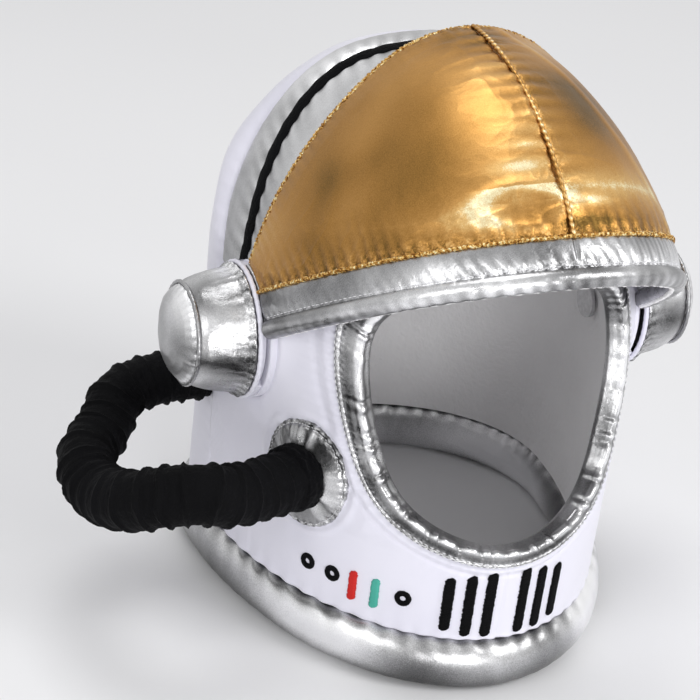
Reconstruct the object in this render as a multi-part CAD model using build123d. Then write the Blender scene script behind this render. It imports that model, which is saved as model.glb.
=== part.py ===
from build123d import *
import math
import os

# Child's astronaut costume helmet, sewn from padded fabric, in millimetres.
# The origin is at the middle of the neck roll's flat foot. +Z is up, the face looks
# along -Y, and the hose is on the wearer's right, at -X. The visor is raised.

# Shell: two egg-shaped forms, widest behind the ears. The rear one is puffed out.
shell_half_width = 94.0
shell_front_depth = 108.0
shell_rear_depth = 111.0
widest_setback = 35.0
front_form_height = 249.5
rear_form_height = 251.0
ear_height = 132.7

# Profiles of the two forms: share of the half width, share of the height above the neck seam
front_profile_shares = [
    (1.0, 0.0), (1.005, 0.20), (1.0, 0.38), (0.989, 0.512), (0.936, 0.637),
    (0.862, 0.748), (0.761, 0.837), (0.61, 0.918), (0.43, 0.970), (0.0, 1.0),
]
rear_profile_shares = [
    (1.0, 0.0), (1.005, 0.20), (1.005, 0.42), (1.0, 0.655), (0.951, 0.743),
    (0.83, 0.832), (0.66, 0.911), (0.48, 0.958), (0.0, 1.0),
]

# Plies, from the outside in
ply_gap = 0.3
cover_thickness = 1.4
foam_thickness = 5.0
lining_thickness = 1.0

# Neck roll: a padded band round the bottom edge
roll_half_height = 12.9
roll_half_thickness = 7.4
roll_set_in = 2.6
roll_foot_depth = 0.5
roll_cover_thickness = 1.2

# Side seam, between the front panels and the rear panels, as places behind the ear axis
side_seam_setback = 21.0
side_seam_bend_setback = 42.0
side_seam_bend_rise = 42.0
side_seam_top_setback = 52.0

# Face opening, and the elasticated binding round it
opening_half_width = 70.6
opening_chin_height = 63.9
opening_brow_height = 200.0
binding_width = 6.8
binding_proud = 1.2
binding_overlap_inside = 0.4
elastic_width = 2.2
elastic_thickness = 2.2
elastic_inset = 1.8
opening_shares = [
    (0.0, 0.0), (0.415, 0.037), (0.735, 0.135), (0.929, 0.352),
    (1.0, 0.611), (0.952, 0.758), (0.70, 0.905), (0.0, 1.0),
]

# Head band from ear to ear, and the stripe along it
band_thickness = 1.1
band_front_setback = -3.0
band_top_front_setback = -12.0
stripe_thickness = 0.9
stripe_width = 7.0
stripe_low_setback = 6.0
stripe_top_setback = 36.0

# Embroidery on the chin and cheek
thread_thickness = 0.9
ring_outer_radius = 3.9
ring_hole_radius = 1.3
ring_height = 42.8
ring_places = [-72.5, -65.3, -41.5]
bar_width = 4.0
bar_length = 14.6
bar_height = 41.2
red_bar_place = -58.8
teal_bar_place = -51.4
vent_bar_width = 5.0
vent_centre = 2.0
vent_inner_place = 8.2
vent_pitch = 9.1
vent_top_height = 61.0
vent_bottom_height = 27.2
vent_top_step = 1.7
vent_bottom_steps = [0.0, 0.3, 2.6]

# Visor: sections in planes through the ear axis, as angles above the front horizontal
visor_half_width = 95.0
visor_brim_reach = 152.7
visor_rear_reach = 139.8
visor_brim_top_radius = 77.0
visor_rear_top_radius = 60.0
visor_brim_angle = 34.6
visor_brim_height = 12.5
visor_rear_angle = 90.0
visor_root_reach = 31.5
visor_skin_thickness = 1.0
visor_foam_thickness = 1.2
visor_lining_thickness = 0.8
visor_ply_gap = 0.3

# Visor trimmings
brim_roll_radius = 4.5
brim_roll_root_reach = 32.6
brim_roll_core_radius = 3.4
boundary_cord_radius = 0.9
centre_cord_radius = 1.1
rear_cord_radius = 1.8
cord_gap = 0.1

# Ear tabs of the visor, which turn on a stud between the backing disc and the cup
seat_plane = 90.5
tab_thickness = 2.2
tab_reach = 31.2
tab_hub_radius = 13.0
tab_low_angle = 26.0
tab_high_angle = 95.0
visor_travel = 55.0
tab_stop_margin = 2.5
seat_radius = 33.0
backing_pad_radius = 30.9
backing_pad_seat = 1.4
backing_pad_depth = 12.0
cup_pad_radius = 30.0

# Pivot stud and the eyelet that turns on it
stud_radius = 3.5
stud_flange_radius = 8.0
stud_flange_thickness = 1.6
stud_inner_plane = 79.4
stud_running_gap = 0.08
eyelet_radius = 6.5

# Ear cups
cup_length = 27.3
cup_base_radius = 29.6
cup_waist_rise = 4.0
cup_waist_radius = 27.5
cup_middle_radius = 26.2
cup_top_radius = 22.3
cup_wall = 1.2
cup_piping_radius = 1.3
cup_seam_cord_radius = 0.9
cup_dome_height = 8.6

# Hose: a gathered tube from the cheek to the side behind the ear cup
hose_front_radius = 14.0
hose_rear_radius = 12.2
hose_rib_depth = 1.2
hose_rib_pitch = 9.0
hose_wall = 2.0
hose_cuff_length = 7.0
hose_route = [
    (-77.8, -50.6, 85.5), (-109.5, -65.7, 85.5), (-135.2, -70.5, 94.4), (-159.1, -53.2, 81.3),
    (-164.1, -24.8, 71.0), (-164.3, -1.9, 75.1), (-148.0, 14.5, 77.3), (-135.7, 34.0, 92.0),
    (-94.8, 34.0, 92.0),
]
hose_bend_radii = [34.0, 32.0, 32.0, 32.0, 32.0, 34.0, 27.0]
hose_rib_shares = [(0.0, 0.0), (0.25, 1.0), (0.6, 1.0), (0.85, 0.0)]

# Padded patch that the hose's front end is sewn to
patch_radius = 24.0
patch_place = -76.0
patch_crown = 5.5
patch_sphere_radius = 60.0

# One overrun serves all cuts
overrun = 40.0

front_stretch = (shell_front_depth + widest_setback) / shell_half_width
rear_stretch = (shell_rear_depth - widest_setback) / shell_half_width
shell_base = 2 * roll_half_height - roll_foot_depth + ply_gap
foam_outer = -cover_thickness - ply_gap
foam_inner = foam_outer - foam_thickness
lining_outer = foam_inner - ply_gap
lining_inner = lining_outer - lining_thickness
stud_hole_radius = stud_radius + 2 * ply_gap
tab_inner_plane = seat_plane + ply_gap
tab_outer_plane = tab_inner_plane + tab_thickness
cup_plane = tab_outer_plane + ply_gap


def solid_of(shape):
    """One compound of the solids in a result, without loose faces."""
    return Compound(children=list(shape.solids()))


def polygon(points):
    """A flat face through the given corners."""
    return Face(Wire.make_polygon([Vector(*p) for p in points]))


def drawn_out(turned, front):
    """Draws a body turned about Z out to the egg's plan, ahead of its widest line or behind."""
    if front:
        drawn = scale(mirror(turned, Plane.XZ), by=(1, front_stretch, 1))
    else:
        drawn = scale(turned, by=(1, rear_stretch, 1))
    return Pos(0, widest_setback, 0) * drawn


def egg(section):
    """An egg-shaped body all the way round from its half section in the XZ plane."""
    half = revolve(section, Axis.Z, 180)
    return drawn_out(half, True) + drawn_out(half, False)


def left_egg(section):
    """The left half of an egg-shaped body."""
    quarter = revolve(section, Axis.Z, 90)
    return drawn_out(quarter, True) + drawn_out(quarter, False)


def profile(shares, height, offset):
    """A form's outline from the neck seam to the top, moved out by an offset."""
    width = shell_half_width + offset
    rise = height + offset - shell_base
    points = [Vector(w * width, 0, shell_base + h * rise) for w, h in shares]
    return Edge.make_spline(points, tangents=[Vector(0, 0, 1), Vector(-1, 0, 0)])


def form_section(shares, height, offset):
    """The half section of a closed form."""
    wall = profile(shares, height, offset)
    foot = Vector(0, 0, shell_base)
    return Face(Wire([Edge.make_line(foot, wall @ 0), wall, Edge.make_line(wall @ 1, foot)]))


def skin_section(low, high):
    """The half section of a layer that follows the front form."""
    outer = profile(front_profile_shares, front_form_height, high)
    inner = profile(front_profile_shares, front_form_height, low)
    base = Edge.make_line(inner @ 0, outer @ 0)
    top = Edge.make_line(outer @ 1, inner @ 1)
    return Face(Wire([base, outer, top, inner]))


def left_skin(low, high):
    """The left half of a layer that follows the front form."""
    return left_egg(skin_section(low, high))


def face_skin(low, high):
    """The part of a layer that lies ahead of the widest line, on both sides."""
    return drawn_out(revolve(skin_section(low, high), Axis.Z, 180), True)


def front_block(offset):
    """The closed front form ahead of its widest line."""
    section = form_section(front_profile_shares, front_form_height, offset)
    return drawn_out(revolve(section, Axis.Z, 180), True)


def left_form(shares, height, offset):
    """The left half of a closed form."""
    return left_egg(form_section(shares, height, offset))


def side_prism(points):
    """A block across the helmet whose outline in the YZ plane has these corners."""
    reach = shell_half_width + overrun
    face = polygon([(-reach, y, z) for y, z in points])
    return extrude(face, amount=2 * reach, dir=(1, 0, 0))


def front_prism(face):
    """A block from a face in the XZ plane out past the front of the helmet."""
    return extrude(face, amount=shell_front_depth + overrun, dir=(0, -1, 0))


def side_seam(setback=0.0):
    """The block behind the side seam, moved back by a setback."""
    top = rear_form_height + overrun
    behind = shell_rear_depth + overrun
    bend = ear_height + side_seam_bend_rise
    slope = (side_seam_top_setback - side_seam_bend_setback) / (rear_form_height - bend)
    over = side_seam_top_setback + slope * overrun
    return side_prism([
        (side_seam_setback + setback, -overrun),
        (side_seam_setback + setback, ear_height),
        (side_seam_bend_setback + setback, bend),
        (over + setback, top),
        (behind, top),
        (behind, -overrun),
    ])


def ear_rod(radius, low, high):
    """A rod on the ear axis at +X, between two planes."""
    rod = Cylinder(radius, high - low, align=(Align.CENTER, Align.CENTER, Align.MIN))
    return Pos(low, 0, ear_height) * Rot(0, 90, 0) * rod


def both_sides(shape):
    return shape + mirror(shape, Plane.YZ)


def opening_prism(inset):
    """The face opening's outline, drawn in by an inset, as a block through the front."""
    width = opening_half_width - inset
    low = opening_chin_height + inset
    rise = opening_brow_height - inset - low
    right = [Vector(w * width, 0, low + h * rise) for w, h in opening_shares]
    left = [Vector(-p.X, 0, p.Z) for p in reversed(right[1:-1])]
    return front_prism(Face(Wire([Edge.make_spline(right + left, periodic=True)])))


def wall_frame(x, z):
    """A plane on the lower wall of the front form, its normal pointing out of the shell."""
    depth = front_stretch * math.sqrt(shell_half_width**2 - x**2)
    normal = Vector(x, -depth / front_stretch**2, 0).normalized()
    along = Vector(0, 0, 1).cross(normal)
    return Plane(origin=(x, widest_setback - depth, z), x_dir=along, z_dir=normal)


def wall_prism(sketch, x, z):
    """A sketch set square on the lower wall and run through it both ways."""
    return extrude(wall_frame(x, z) * sketch, amount=patch_radius, both=True)


# Shell

def shell_cuts():
    """What the left half of the shell is cut away for: the face, the stud and the ear seat."""
    outside = shell_half_width + overrun
    seat = ear_rod(seat_radius, seat_plane - backing_pad_seat - ply_gap, outside)
    return opening_prism(-ply_gap) + seat + ear_rod(stud_hole_radius, seat_plane / 2, outside)


def make_shell(cuts):
    """Cover panels, foam and lining, as separate pieces."""
    front_region = side_seam()
    cheek = left_skin(-cover_thickness, 0.0) - front_region - cuts
    lining = left_skin(lining_inner, lining_outer) - cuts
    front_foam = left_skin(foam_inner, foam_outer) - front_region - cuts
    core = left_form(front_profile_shares, front_form_height, foam_inner)

    def rear_block(offset, setback):
        block = left_form(rear_profile_shares, rear_form_height, offset)
        return (block & side_seam(ply_gap + setback)) - core - cuts
    outside = rear_block(0.0, 0.0)
    hollow = rear_block(-cover_thickness, cover_thickness)
    rear_foam = rear_block(foam_outer, cover_thickness + ply_gap)
    pieces = {"front_foam": both_sides(front_foam), "rear_foam": both_sides(rear_foam)}
    for name, left in (("cheek", cheek), ("rear", outside - hollow), ("lining", lining)):
        node = name if name == "lining" else name + "_panel"
        pieces[node + "_left"] = left
        pieces[node + "_right"] = mirror(left, Plane.YZ)
    return pieces


def make_binding():
    """The binding round the face opening, with its elastic in the hem."""
    inner_face = lining_inner - binding_overlap_inside
    ring = opening_prism(0.0) - opening_prism(binding_width)
    strip = face_skin(inner_face, binding_proud) & ring
    hem_outer = opening_prism(binding_width - elastic_inset - elastic_width - 2 * ply_gap)
    hem_inner = opening_prism(binding_width - elastic_inset)
    middle = (inner_face + binding_proud) / 2
    reach = elastic_thickness / 2
    hem = face_skin(middle - reach - ply_gap, middle + reach + ply_gap) & (hem_outer - hem_inner)
    core_outer = opening_prism(binding_width - elastic_inset - elastic_width - ply_gap)
    core_inner = opening_prism(binding_width - elastic_inset - ply_gap)
    elastic = face_skin(middle - reach, middle + reach) & (core_outer - core_inner)
    return {"face_binding": strip - hem, "face_elastic": elastic}


def make_band():
    """The silver head band and the stripe sewn along its middle."""
    clear_of_cup = ear_rod(seat_radius, 0, shell_half_width + overrun)
    top = rear_form_height + overrun
    area = side_prism([
        (band_front_setback, ear_height),
        (band_top_front_setback, top),
        (shell_rear_depth, top),
        (shell_rear_depth, ear_height),
    ])
    band = left_skin(ply_gap, ply_gap + band_thickness) & area
    band = band - side_seam(-ply_gap) - clear_of_cup
    slope = (stripe_top_setback - stripe_low_setback) / (rear_form_height - ear_height)
    over = stripe_top_setback + slope * overrun
    reach = stripe_width / 2
    strip = side_prism([
        (stripe_low_setback - reach, ear_height),
        (over - reach, top),
        (over + reach, top),
        (stripe_low_setback + reach, ear_height),
    ])
    low = 2 * ply_gap + band_thickness
    stripe = (left_skin(low, low + stripe_thickness) & strip) - clear_of_cup
    return {"head_band": both_sides(band), "band_stripe": both_sides(stripe)}


def make_roll():
    """The padded neck roll, cut flat where it stands."""
    centre = Vector(shell_half_width - roll_set_in, 0, roll_half_height - roll_foot_depth)
    plane = Plane(origin=centre, x_dir=(1, 0, 0), z_dir=(0, -1, 0))

    def ring(inset):
        section = plane * Ellipse(roll_half_thickness - inset, roll_half_height - inset)
        return egg(section)

    below = 2 * (shell_front_depth + shell_rear_depth)
    ground = Box(below, below, overrun, align=(Align.CENTER, Align.CENTER, Align.MAX))
    cover = ring(0.0) - ring(roll_cover_thickness) - ground
    return {
        "neck_roll_cover": cover,
        "neck_roll_foam": ring(roll_cover_thickness + ply_gap),
    }


def make_embroidery():
    """Rings, bars and vent slots, worked in raised thread."""
    thread = face_skin(ply_gap, ply_gap + thread_thickness)
    ring = Circle(ring_outer_radius) - Circle(ring_hole_radius)
    bar = SlotOverall(bar_length, bar_width, rotation=90)
    rings = [wall_prism(ring, x, ring_height) & thread for x in ring_places]
    pieces = {
        "cheek_rings": Compound(children=[s for r in rings for s in r.solids()]),
        "red_bar": wall_prism(bar, red_bar_place, bar_height) & thread,
        "teal_bar": wall_prism(bar, teal_bar_place, bar_height) & thread,
    }
    for side, name in ((1, "left"), (-1, "right")):
        bars = []
        for i, step in enumerate(vent_bottom_steps):
            low = vent_bottom_height + step
            high = vent_top_height - i * vent_top_step
            x = vent_centre + side * (vent_inner_place + i * vent_pitch)
            slot = SlotOverall(high - low, vent_bar_width, rotation=90)
            bars += (wall_prism(slot, x, (low + high) / 2) & thread).solids()
        pieces["vent_bars_" + name] = Compound(children=bars)
    return pieces


# Ear cups and pivots

def turned(points):
    """A solid of revolution on the ear axis at +X, from places along it and radii."""
    corners = [(x, 0, ear_height + r) for x, r in points]
    axis = Axis((0, 0, ear_height), (1, 0, 0))
    return revolve(polygon(corners), axis, 360)


def ear_torus(x, ring_radius, cord_radius):
    return Pos(x, 0, ear_height) * Rot(0, 90, 0) * Torus(ring_radius, cord_radius)


def cap_solid(edge_radius, rise, base):
    """A shallow dome on the ear axis."""
    ball = (edge_radius**2 + rise**2) / (2 * rise)
    half_turn = math.asin(edge_radius / ball) / 2
    centre = base + rise - ball
    foot = Vector(base, 0, ear_height)
    rim = Vector(base, 0, ear_height + edge_radius)
    middle = Vector(
        centre + ball * math.cos(half_turn), 0, ear_height + ball * math.sin(half_turn)
    )
    peak = Vector(base + rise, 0, ear_height)
    arc = Edge.make_three_point_arc(rim, middle, peak)
    section = Face(Wire([Edge.make_line(foot, rim), arc, Edge.make_line(peak, foot)]))
    return revolve(section, Axis((0, 0, ear_height), (1, 0, 0)), 360)


def fan(angle_low, angle_high, reach):
    """A sector in the YZ plane about the ear axis, angles from the front horizontal."""
    def at(angle):
        a = math.radians(angle)
        return Vector(0, -reach * math.cos(a), ear_height + reach * math.sin(a))
    centre = Vector(0, 0, ear_height)
    arc = Edge.make_three_point_arc(
        at(angle_low), at((angle_low + angle_high) / 2), at(angle_high)
    )
    sides = [Edge.make_line(centre, at(angle_low)), Edge.make_line(at(angle_high), centre)]
    return Face(Wire([sides[0], arc, sides[1]]))


def ear_plate(face, low, high):
    """A flat piece square to the ear axis, between two planes at +X."""
    return Pos(low, 0, 0) * extrude(face, amount=high - low, dir=(1, 0, 0))


def make_ear():
    """One ear, at +X: the pieces of the helmet and those that turn with the visor."""
    foot = cup_plane + 2 * cup_piping_radius + ply_gap
    waist = foot + cup_waist_rise
    seam = cup_plane + cup_length
    middle = (waist + seam) / 2
    drum = turned([
        (foot, cup_base_radius),
        (waist, cup_waist_radius),
        (middle, cup_middle_radius),
        (seam, cup_top_radius),
        (seam, cup_top_radius - cup_wall),
        (middle, cup_middle_radius - cup_wall),
        (waist, cup_waist_radius - cup_wall),
        (foot, cup_base_radius - cup_wall),
    ])
    cap_base = seam + ply_gap
    cap = cap_solid(cup_top_radius, cup_dome_height, cap_base)
    hollow = cap_solid(cup_top_radius - cup_wall, cup_dome_height - cup_wall, cap_base)
    inset = cup_wall + ply_gap
    neck = cup_base_radius - cup_piping_radius - ply_gap
    plug = turned([
        (cup_plane, 0),
        (cup_plane, neck),
        (foot, neck),
        (waist, cup_waist_radius - inset),
        (middle, cup_middle_radius - inset),
        (cap_base, cup_top_radius - inset),
        (cap_base, 0),
    ])
    plug = plug + cap_solid(cup_top_radius - inset, cup_dome_height - inset, cap_base)
    pocket = ear_rod(
        stud_flange_radius + ply_gap, cup_plane, cup_plane + stud_flange_thickness + ply_gap
    )
    stud = (
        ear_rod(stud_flange_radius, stud_inner_plane - stud_flange_thickness, stud_inner_plane)
        + ear_rod(stud_radius, stud_inner_plane, cup_plane)
        + ear_rod(stud_flange_radius, cup_plane, cup_plane + stud_flange_thickness)
    )
    wedge = ear_rod(backing_pad_radius, seat_plane - backing_pad_depth, seat_plane)
    backing = (wedge - front_block(ply_gap)) + ear_rod(
        backing_pad_radius, seat_plane - backing_pad_seat, seat_plane
    )
    hub = ear_rod(tab_hub_radius, tab_inner_plane, tab_outer_plane)
    blade = ear_plate(fan(tab_low_angle, tab_high_angle, tab_reach), tab_inner_plane, tab_outer_plane)
    eyelet = ear_rod(eyelet_radius, tab_inner_plane, tab_outer_plane)
    pad_low = tab_high_angle + tab_stop_margin
    pad_high = tab_low_angle - visor_travel - tab_stop_margin + 360
    pad_turn = pad_high - pad_low
    pad = ear_plate(fan(pad_low, pad_low + pad_turn / 2, cup_pad_radius), seat_plane, cup_plane)
    pad = pad + ear_plate(
        fan(pad_low + pad_turn / 2, pad_high, cup_pad_radius), seat_plane, cup_plane
    )
    fixed = {
        "ear_cup_drum": drum,
        "ear_cup_cap": cap - hollow,
        "ear_cup_piping": ear_torus(
            cup_plane + cup_piping_radius, cup_base_radius, cup_piping_radius
        ),
        "ear_cup_seam_cord": ear_torus(
            seam, cup_top_radius + cup_seam_cord_radius + ply_gap, cup_seam_cord_radius
        ),
        "ear_cup_filling": plug - pocket,
        "pivot_stud": stud,
        "ear_backing_pad": backing - ear_rod(stud_hole_radius, 0, seat_plane + overrun),
        "ear_cup_pad": pad - ear_rod(tab_hub_radius + 2 * ply_gap, 0, seat_plane + overrun),
    }
    turning = {
        "visor_ear_tab": hub + blade - ear_rod(eyelet_radius + ply_gap, 0, cup_plane),
        "visor_eyelet": eyelet - ear_rod(stud_radius + stud_running_gap, 0, cup_plane),
    }
    return fixed, turning


# Visor

def visor_plane(angle, shift=0.0):
    """The plane through the ear axis at an angle above the front horizontal."""
    a = math.radians(angle)
    normal = Vector(0, -math.sin(a), -math.cos(a))
    origin = Vector(0, 0, ear_height) - normal * shift
    return Plane(origin=origin, x_dir=(1, 0, 0), z_dir=normal)


def section_sizes(angle, inset):
    """Half width, reach, side arc and top arc of the visor's section at an angle."""
    share = (angle - visor_brim_angle) / (visor_rear_angle - visor_brim_angle)
    reach = visor_brim_reach + share * (visor_rear_reach - visor_brim_reach)
    top = visor_brim_top_radius + share * (visor_rear_top_radius - visor_brim_top_radius)
    rise = reach - top
    side = (visor_half_width**2 + rise**2 - top**2) / (2 * (visor_half_width - top))
    return visor_half_width - inset, reach - inset, side - inset, top - inset


def half_arch(angle, inset, start):
    """Two tangent arcs from the ear up to the middle, in the section's own plane."""
    width, reach, side, top = section_sizes(angle, inset)
    side_centre = Vector(width - side, 0)
    top_centre = Vector(0, reach - top)
    turn = math.atan2(top_centre.Y - side_centre.Y, top_centre.X - side_centre.X)
    first = math.asin(start / side)

    def on(centre, radius, a):
        return Vector(centre.X + radius * math.cos(a), centre.Y + radius * math.sin(a))
    side_arc = Edge.make_three_point_arc(
        on(side_centre, side, first),
        on(side_centre, side, (first + turn) / 2),
        on(side_centre, side, turn),
    )
    quarter = math.pi / 2
    top_arc = Edge.make_three_point_arc(
        on(top_centre, top, turn),
        on(top_centre, top, (turn + quarter) / 2),
        Vector(0, reach),
    )
    return side_arc, top_arc


def half_section(angle, outer, inner):
    """A ply of the visor's left half, cut by a plane through the ear axis."""
    out_side, out_top = half_arch(angle, outer, visor_root_reach)
    in_side, in_top = half_arch(angle, inner, visor_root_reach)
    root = Edge.make_line(in_side @ 0, out_side @ 0)
    middle = Edge.make_line(out_top @ 1, in_top @ 1)
    wire = Wire([root, out_side, out_top, middle, in_top, in_side])
    return visor_plane(angle) * Face(wire)


def visor_ply(outer, inner):
    """The left half of one ply, lofted from the brim to the rear edge."""
    low, high = visor_brim_angle, visor_rear_angle
    return loft([half_section(a, outer, inner) for a in (low, (low + high) / 2, high)])


def arch_path(angle, inset, start, shift=0.0):
    """The whole arch from ear to ear, for a cord."""
    plane = visor_plane(angle, shift)
    left = [plane * edge for edge in half_arch(angle, inset, start)]
    right = [edge.mirror(Plane.YZ) for edge in left]
    return Wire([*left, *right])


def arch_width(angle, reach, inset):
    """How far the visor's section is from the middle, at a distance from the ear axis."""
    width, height, side, top = section_sizes(angle, inset)
    side_centre = width - side
    top_centre = height - top
    joint = top_centre + top * top_centre / (side - top)
    if reach < joint:
        return side_centre + math.sqrt(side**2 - reach**2)
    return math.sqrt(max(top**2 - (reach - top_centre) ** 2, 0.0))


def seam_path(inset, steps=14):
    """The line where gold and silver meet: level with the brim, from ear to ear."""
    low = math.degrees(math.asin(visor_brim_height / visor_root_reach))
    high = math.degrees(math.asin(visor_brim_height / section_sizes(visor_brim_angle, inset)[1]))
    points = []
    for i in range(steps + 1):
        share = i / steps
        turn = low * (high / low) ** share
        reach = visor_brim_height / math.sin(math.radians(turn))
        angle = visor_brim_angle + turn
        a = math.radians(angle)
        x = arch_width(angle, reach, inset) if i < steps else 0.0
        points.append(Vector(x, -reach * math.cos(a), ear_height + reach * math.sin(a)))
    right = [Vector(-p.X, p.Y, p.Z) for p in reversed(points[:-1])]
    return Wire([Edge.make_spline(points + right)])


def cord_along(path, radius):
    """A round cord swept along a path from its start."""
    frame = Plane(origin=path @ 0, z_dir=path % 0)
    return sweep(frame * Circle(radius), path=path)


def centre_path(lift, low, high):
    """The middle line of the visor's top, lifted off it."""
    def at(angle):
        a = math.radians(angle)
        reach = section_sizes(angle, -lift)[1]
        return Vector(0, -reach * math.cos(a), ear_height + reach * math.sin(a))
    return Wire([Edge.make_three_point_arc(at(low), at((low + high) / 2), at(high))])


def beyond_seam(setback):
    """The block on the gold side of the seam line, starting a setback past it."""
    plane = visor_plane(visor_brim_angle, visor_brim_height + setback)
    reach = 2 * (visor_brim_reach + overrun)
    return plane * Box(reach, reach, reach, align=(Align.CENTER, Align.CENTER, Align.MAX))


def make_visor():
    """The visor's plies, cords and brim."""
    foam_top = visor_skin_thickness + visor_ply_gap
    foam_bottom = foam_top + visor_foam_thickness
    lining_top = foam_bottom + visor_ply_gap
    lining_bottom = lining_top + visor_lining_thickness
    skin = visor_ply(0.0, visor_skin_thickness)
    gold = skin & beyond_seam(visor_ply_gap)
    band = skin - beyond_seam(0.0)
    foam = visor_ply(foam_top, foam_bottom)
    lining = visor_ply(lining_top, lining_bottom)
    cord_lift = centre_cord_radius + cord_gap
    edge_inset = lining_bottom / 2
    brim = arch_path(
        visor_brim_angle, edge_inset, brim_roll_root_reach, -brim_roll_radius - visor_ply_gap
    )
    boundary = visor_brim_angle + math.degrees(visor_brim_height / visor_brim_reach)
    centre_start = boundary + math.degrees((boundary_cord_radius + ply_gap) / visor_brim_reach)
    return {
        "visor_panel_left": gold,
        "visor_panel_right": mirror(gold, Plane.YZ),
        "brim_band_left": band,
        "brim_band_right": mirror(band, Plane.YZ),
        "visor_foam": both_sides(foam),
        "visor_lining": both_sides(lining),
        "brim_roll": cord_along(brim, brim_roll_radius)
        - cord_along(brim, brim_roll_core_radius + ply_gap),
        "brim_roll_core": cord_along(brim, brim_roll_core_radius),
        "visor_boundary_cord": cord_along(
            seam_path(-boundary_cord_radius - ply_gap), boundary_cord_radius
        ),
        "visor_centre_cord": cord_along(
            centre_path(cord_lift, centre_start, visor_rear_angle), centre_cord_radius
        ),
        "visor_rear_cord": cord_along(
            arch_path(
                visor_rear_angle, edge_inset, visor_root_reach, rear_cord_radius + cord_gap
            ),
            rear_cord_radius,
        ),
    }


# Hose

def hose_path():
    """The hose's middle line: straight runs joined by tangent arcs."""
    path = FilletPolyline(*[Vector(*p) for p in hose_route], radius=hose_bend_radii)
    print("hose bend radii", hose_bend_radii, "length", round(path.length, 1))
    return path


def hose_disc(path, distance, radius):
    """A disc across the hose at a distance along it, on a steady axis."""
    length = path.length
    place = min(max(distance, 0.0), length)
    tangent = path.tangent_at(place / length)
    origin = path.position_at(place / length) + tangent * (distance - place)
    return Plane(origin=origin, x_dir=(0, 0, 1), z_dir=tangent) * Circle(radius)


def hose_radius(path, distance):
    share = distance / path.length
    return hose_front_radius + share * (hose_rear_radius - hose_front_radius)


def make_hose():
    """The gathered sleeve with its bore, the cuffs at its ends and the cheek patch."""
    path = hose_path()
    start = hose_cuff_length + ply_gap
    end = path.length - hose_cuff_length - ply_gap
    count = round((end - start) / hose_rib_pitch)
    pitch = (end - start) / count
    discs = []
    for i in range(count):
        for along, height in hose_rib_shares:
            at = start + (i + along) * pitch
            drop = (1 - height) * hose_rib_depth
            discs.append(hose_disc(path, at, hose_radius(path, at) - drop))
    discs.append(hose_disc(path, end, hose_radius(path, end) - hose_rib_depth))
    bore_wall = hose_rib_depth + hose_wall
    bore = []
    for i in range(count + 1):
        at = start + i * pitch
        shift = -ply_gap if i == 0 else ply_gap if i == count else 0.0
        bore.append(hose_disc(path, at + shift, hose_radius(path, at) - bore_wall))
    sleeve = loft(discs, ruled=True) - loft(bore, ruled=True)

    def cuff(low, high, radius):
        ring = [hose_disc(path, at, radius) for at in (low, high)]
        hole = [hose_disc(path, at, radius - bore_wall) for at in (low, high)]
        return loft(ring, ruled=True) - loft(hole, ruled=True)
    frame = wall_frame(patch_place, hose_route[0][2])
    ball_depth = patch_crown - patch_sphere_radius
    disc = frame * Cylinder(patch_radius, 2 * patch_sphere_radius)
    patch = (frame * Pos(0, 0, ball_depth) * Sphere(patch_sphere_radius)) & disc
    padded = frame * Pos(0, 0, ball_depth) * Sphere(patch_sphere_radius + ply_gap)
    front_cuff = cuff(0.0, hose_cuff_length, hose_front_radius - hose_rib_depth)
    rear_cuff = cuff(
        path.length - hose_cuff_length, path.length, hose_rear_radius - hose_rib_depth
    )
    return {
        "hose_sleeve": sleeve,
        "hose_front_cuff": front_cuff - padded,
        "hose_rear_cuff": rear_cuff,
        "hose_patch": patch - front_block(ply_gap),
    }


def make_all():
    """Every piece of the helmet under its node's name."""
    pieces = {}
    pieces.update(make_shell(shell_cuts()))
    pieces.update(make_binding())
    pieces.update(make_band())
    pieces.update(make_roll())
    pieces.update(make_embroidery())
    fixed, turning = make_ear()
    for name, shape in {**fixed, **turning}.items():
        pieces[name + "_left"] = shape
        pieces[name + "_right"] = mirror(shape, Plane.YZ)
    pieces.update(make_visor())
    pieces.update(make_hose())
    return pieces


os.makedirs("parts", exist_ok=True)
for node, shape in make_all().items():
    export_step(solid_of(shape), "parts/" + node + ".step")
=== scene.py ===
import bmesh
import bpy
import numpy as np
from mathutils import Matrix, Vector


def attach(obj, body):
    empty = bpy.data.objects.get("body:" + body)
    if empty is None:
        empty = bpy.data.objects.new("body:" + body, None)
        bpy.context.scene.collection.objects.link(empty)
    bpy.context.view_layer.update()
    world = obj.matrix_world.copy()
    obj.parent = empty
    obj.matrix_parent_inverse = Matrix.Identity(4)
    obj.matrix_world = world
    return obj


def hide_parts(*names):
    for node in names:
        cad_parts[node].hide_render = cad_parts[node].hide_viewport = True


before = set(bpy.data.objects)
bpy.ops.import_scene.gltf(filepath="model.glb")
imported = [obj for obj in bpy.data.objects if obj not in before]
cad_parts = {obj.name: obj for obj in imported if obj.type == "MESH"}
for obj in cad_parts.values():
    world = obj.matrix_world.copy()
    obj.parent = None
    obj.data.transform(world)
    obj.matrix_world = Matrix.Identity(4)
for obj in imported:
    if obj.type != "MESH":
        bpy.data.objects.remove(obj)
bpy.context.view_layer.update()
MM = 0.001
SHELL = "helmet_shell"
VISOR = "visor"
SIDES = ((1, "left"), (-1, "right"))


def add_object(name, data):
    holder = bpy.data.objects.new(name, data)
    bpy.context.scene.collection.objects.link(holder)
    return holder


# The camera, at the photograph's angle, and the hose, which is a cord

CAMERA_PLACE = (-0.4819, -0.9697, 0.6792)
CAMERA_BACK = Vector((-0.3675, -0.8045, 0.4667)).normalized()
CAMERA_UP = Vector((0.0797, 0.4727, 0.8776)).normalized()
CAMERA_LENS = 136.12


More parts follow.
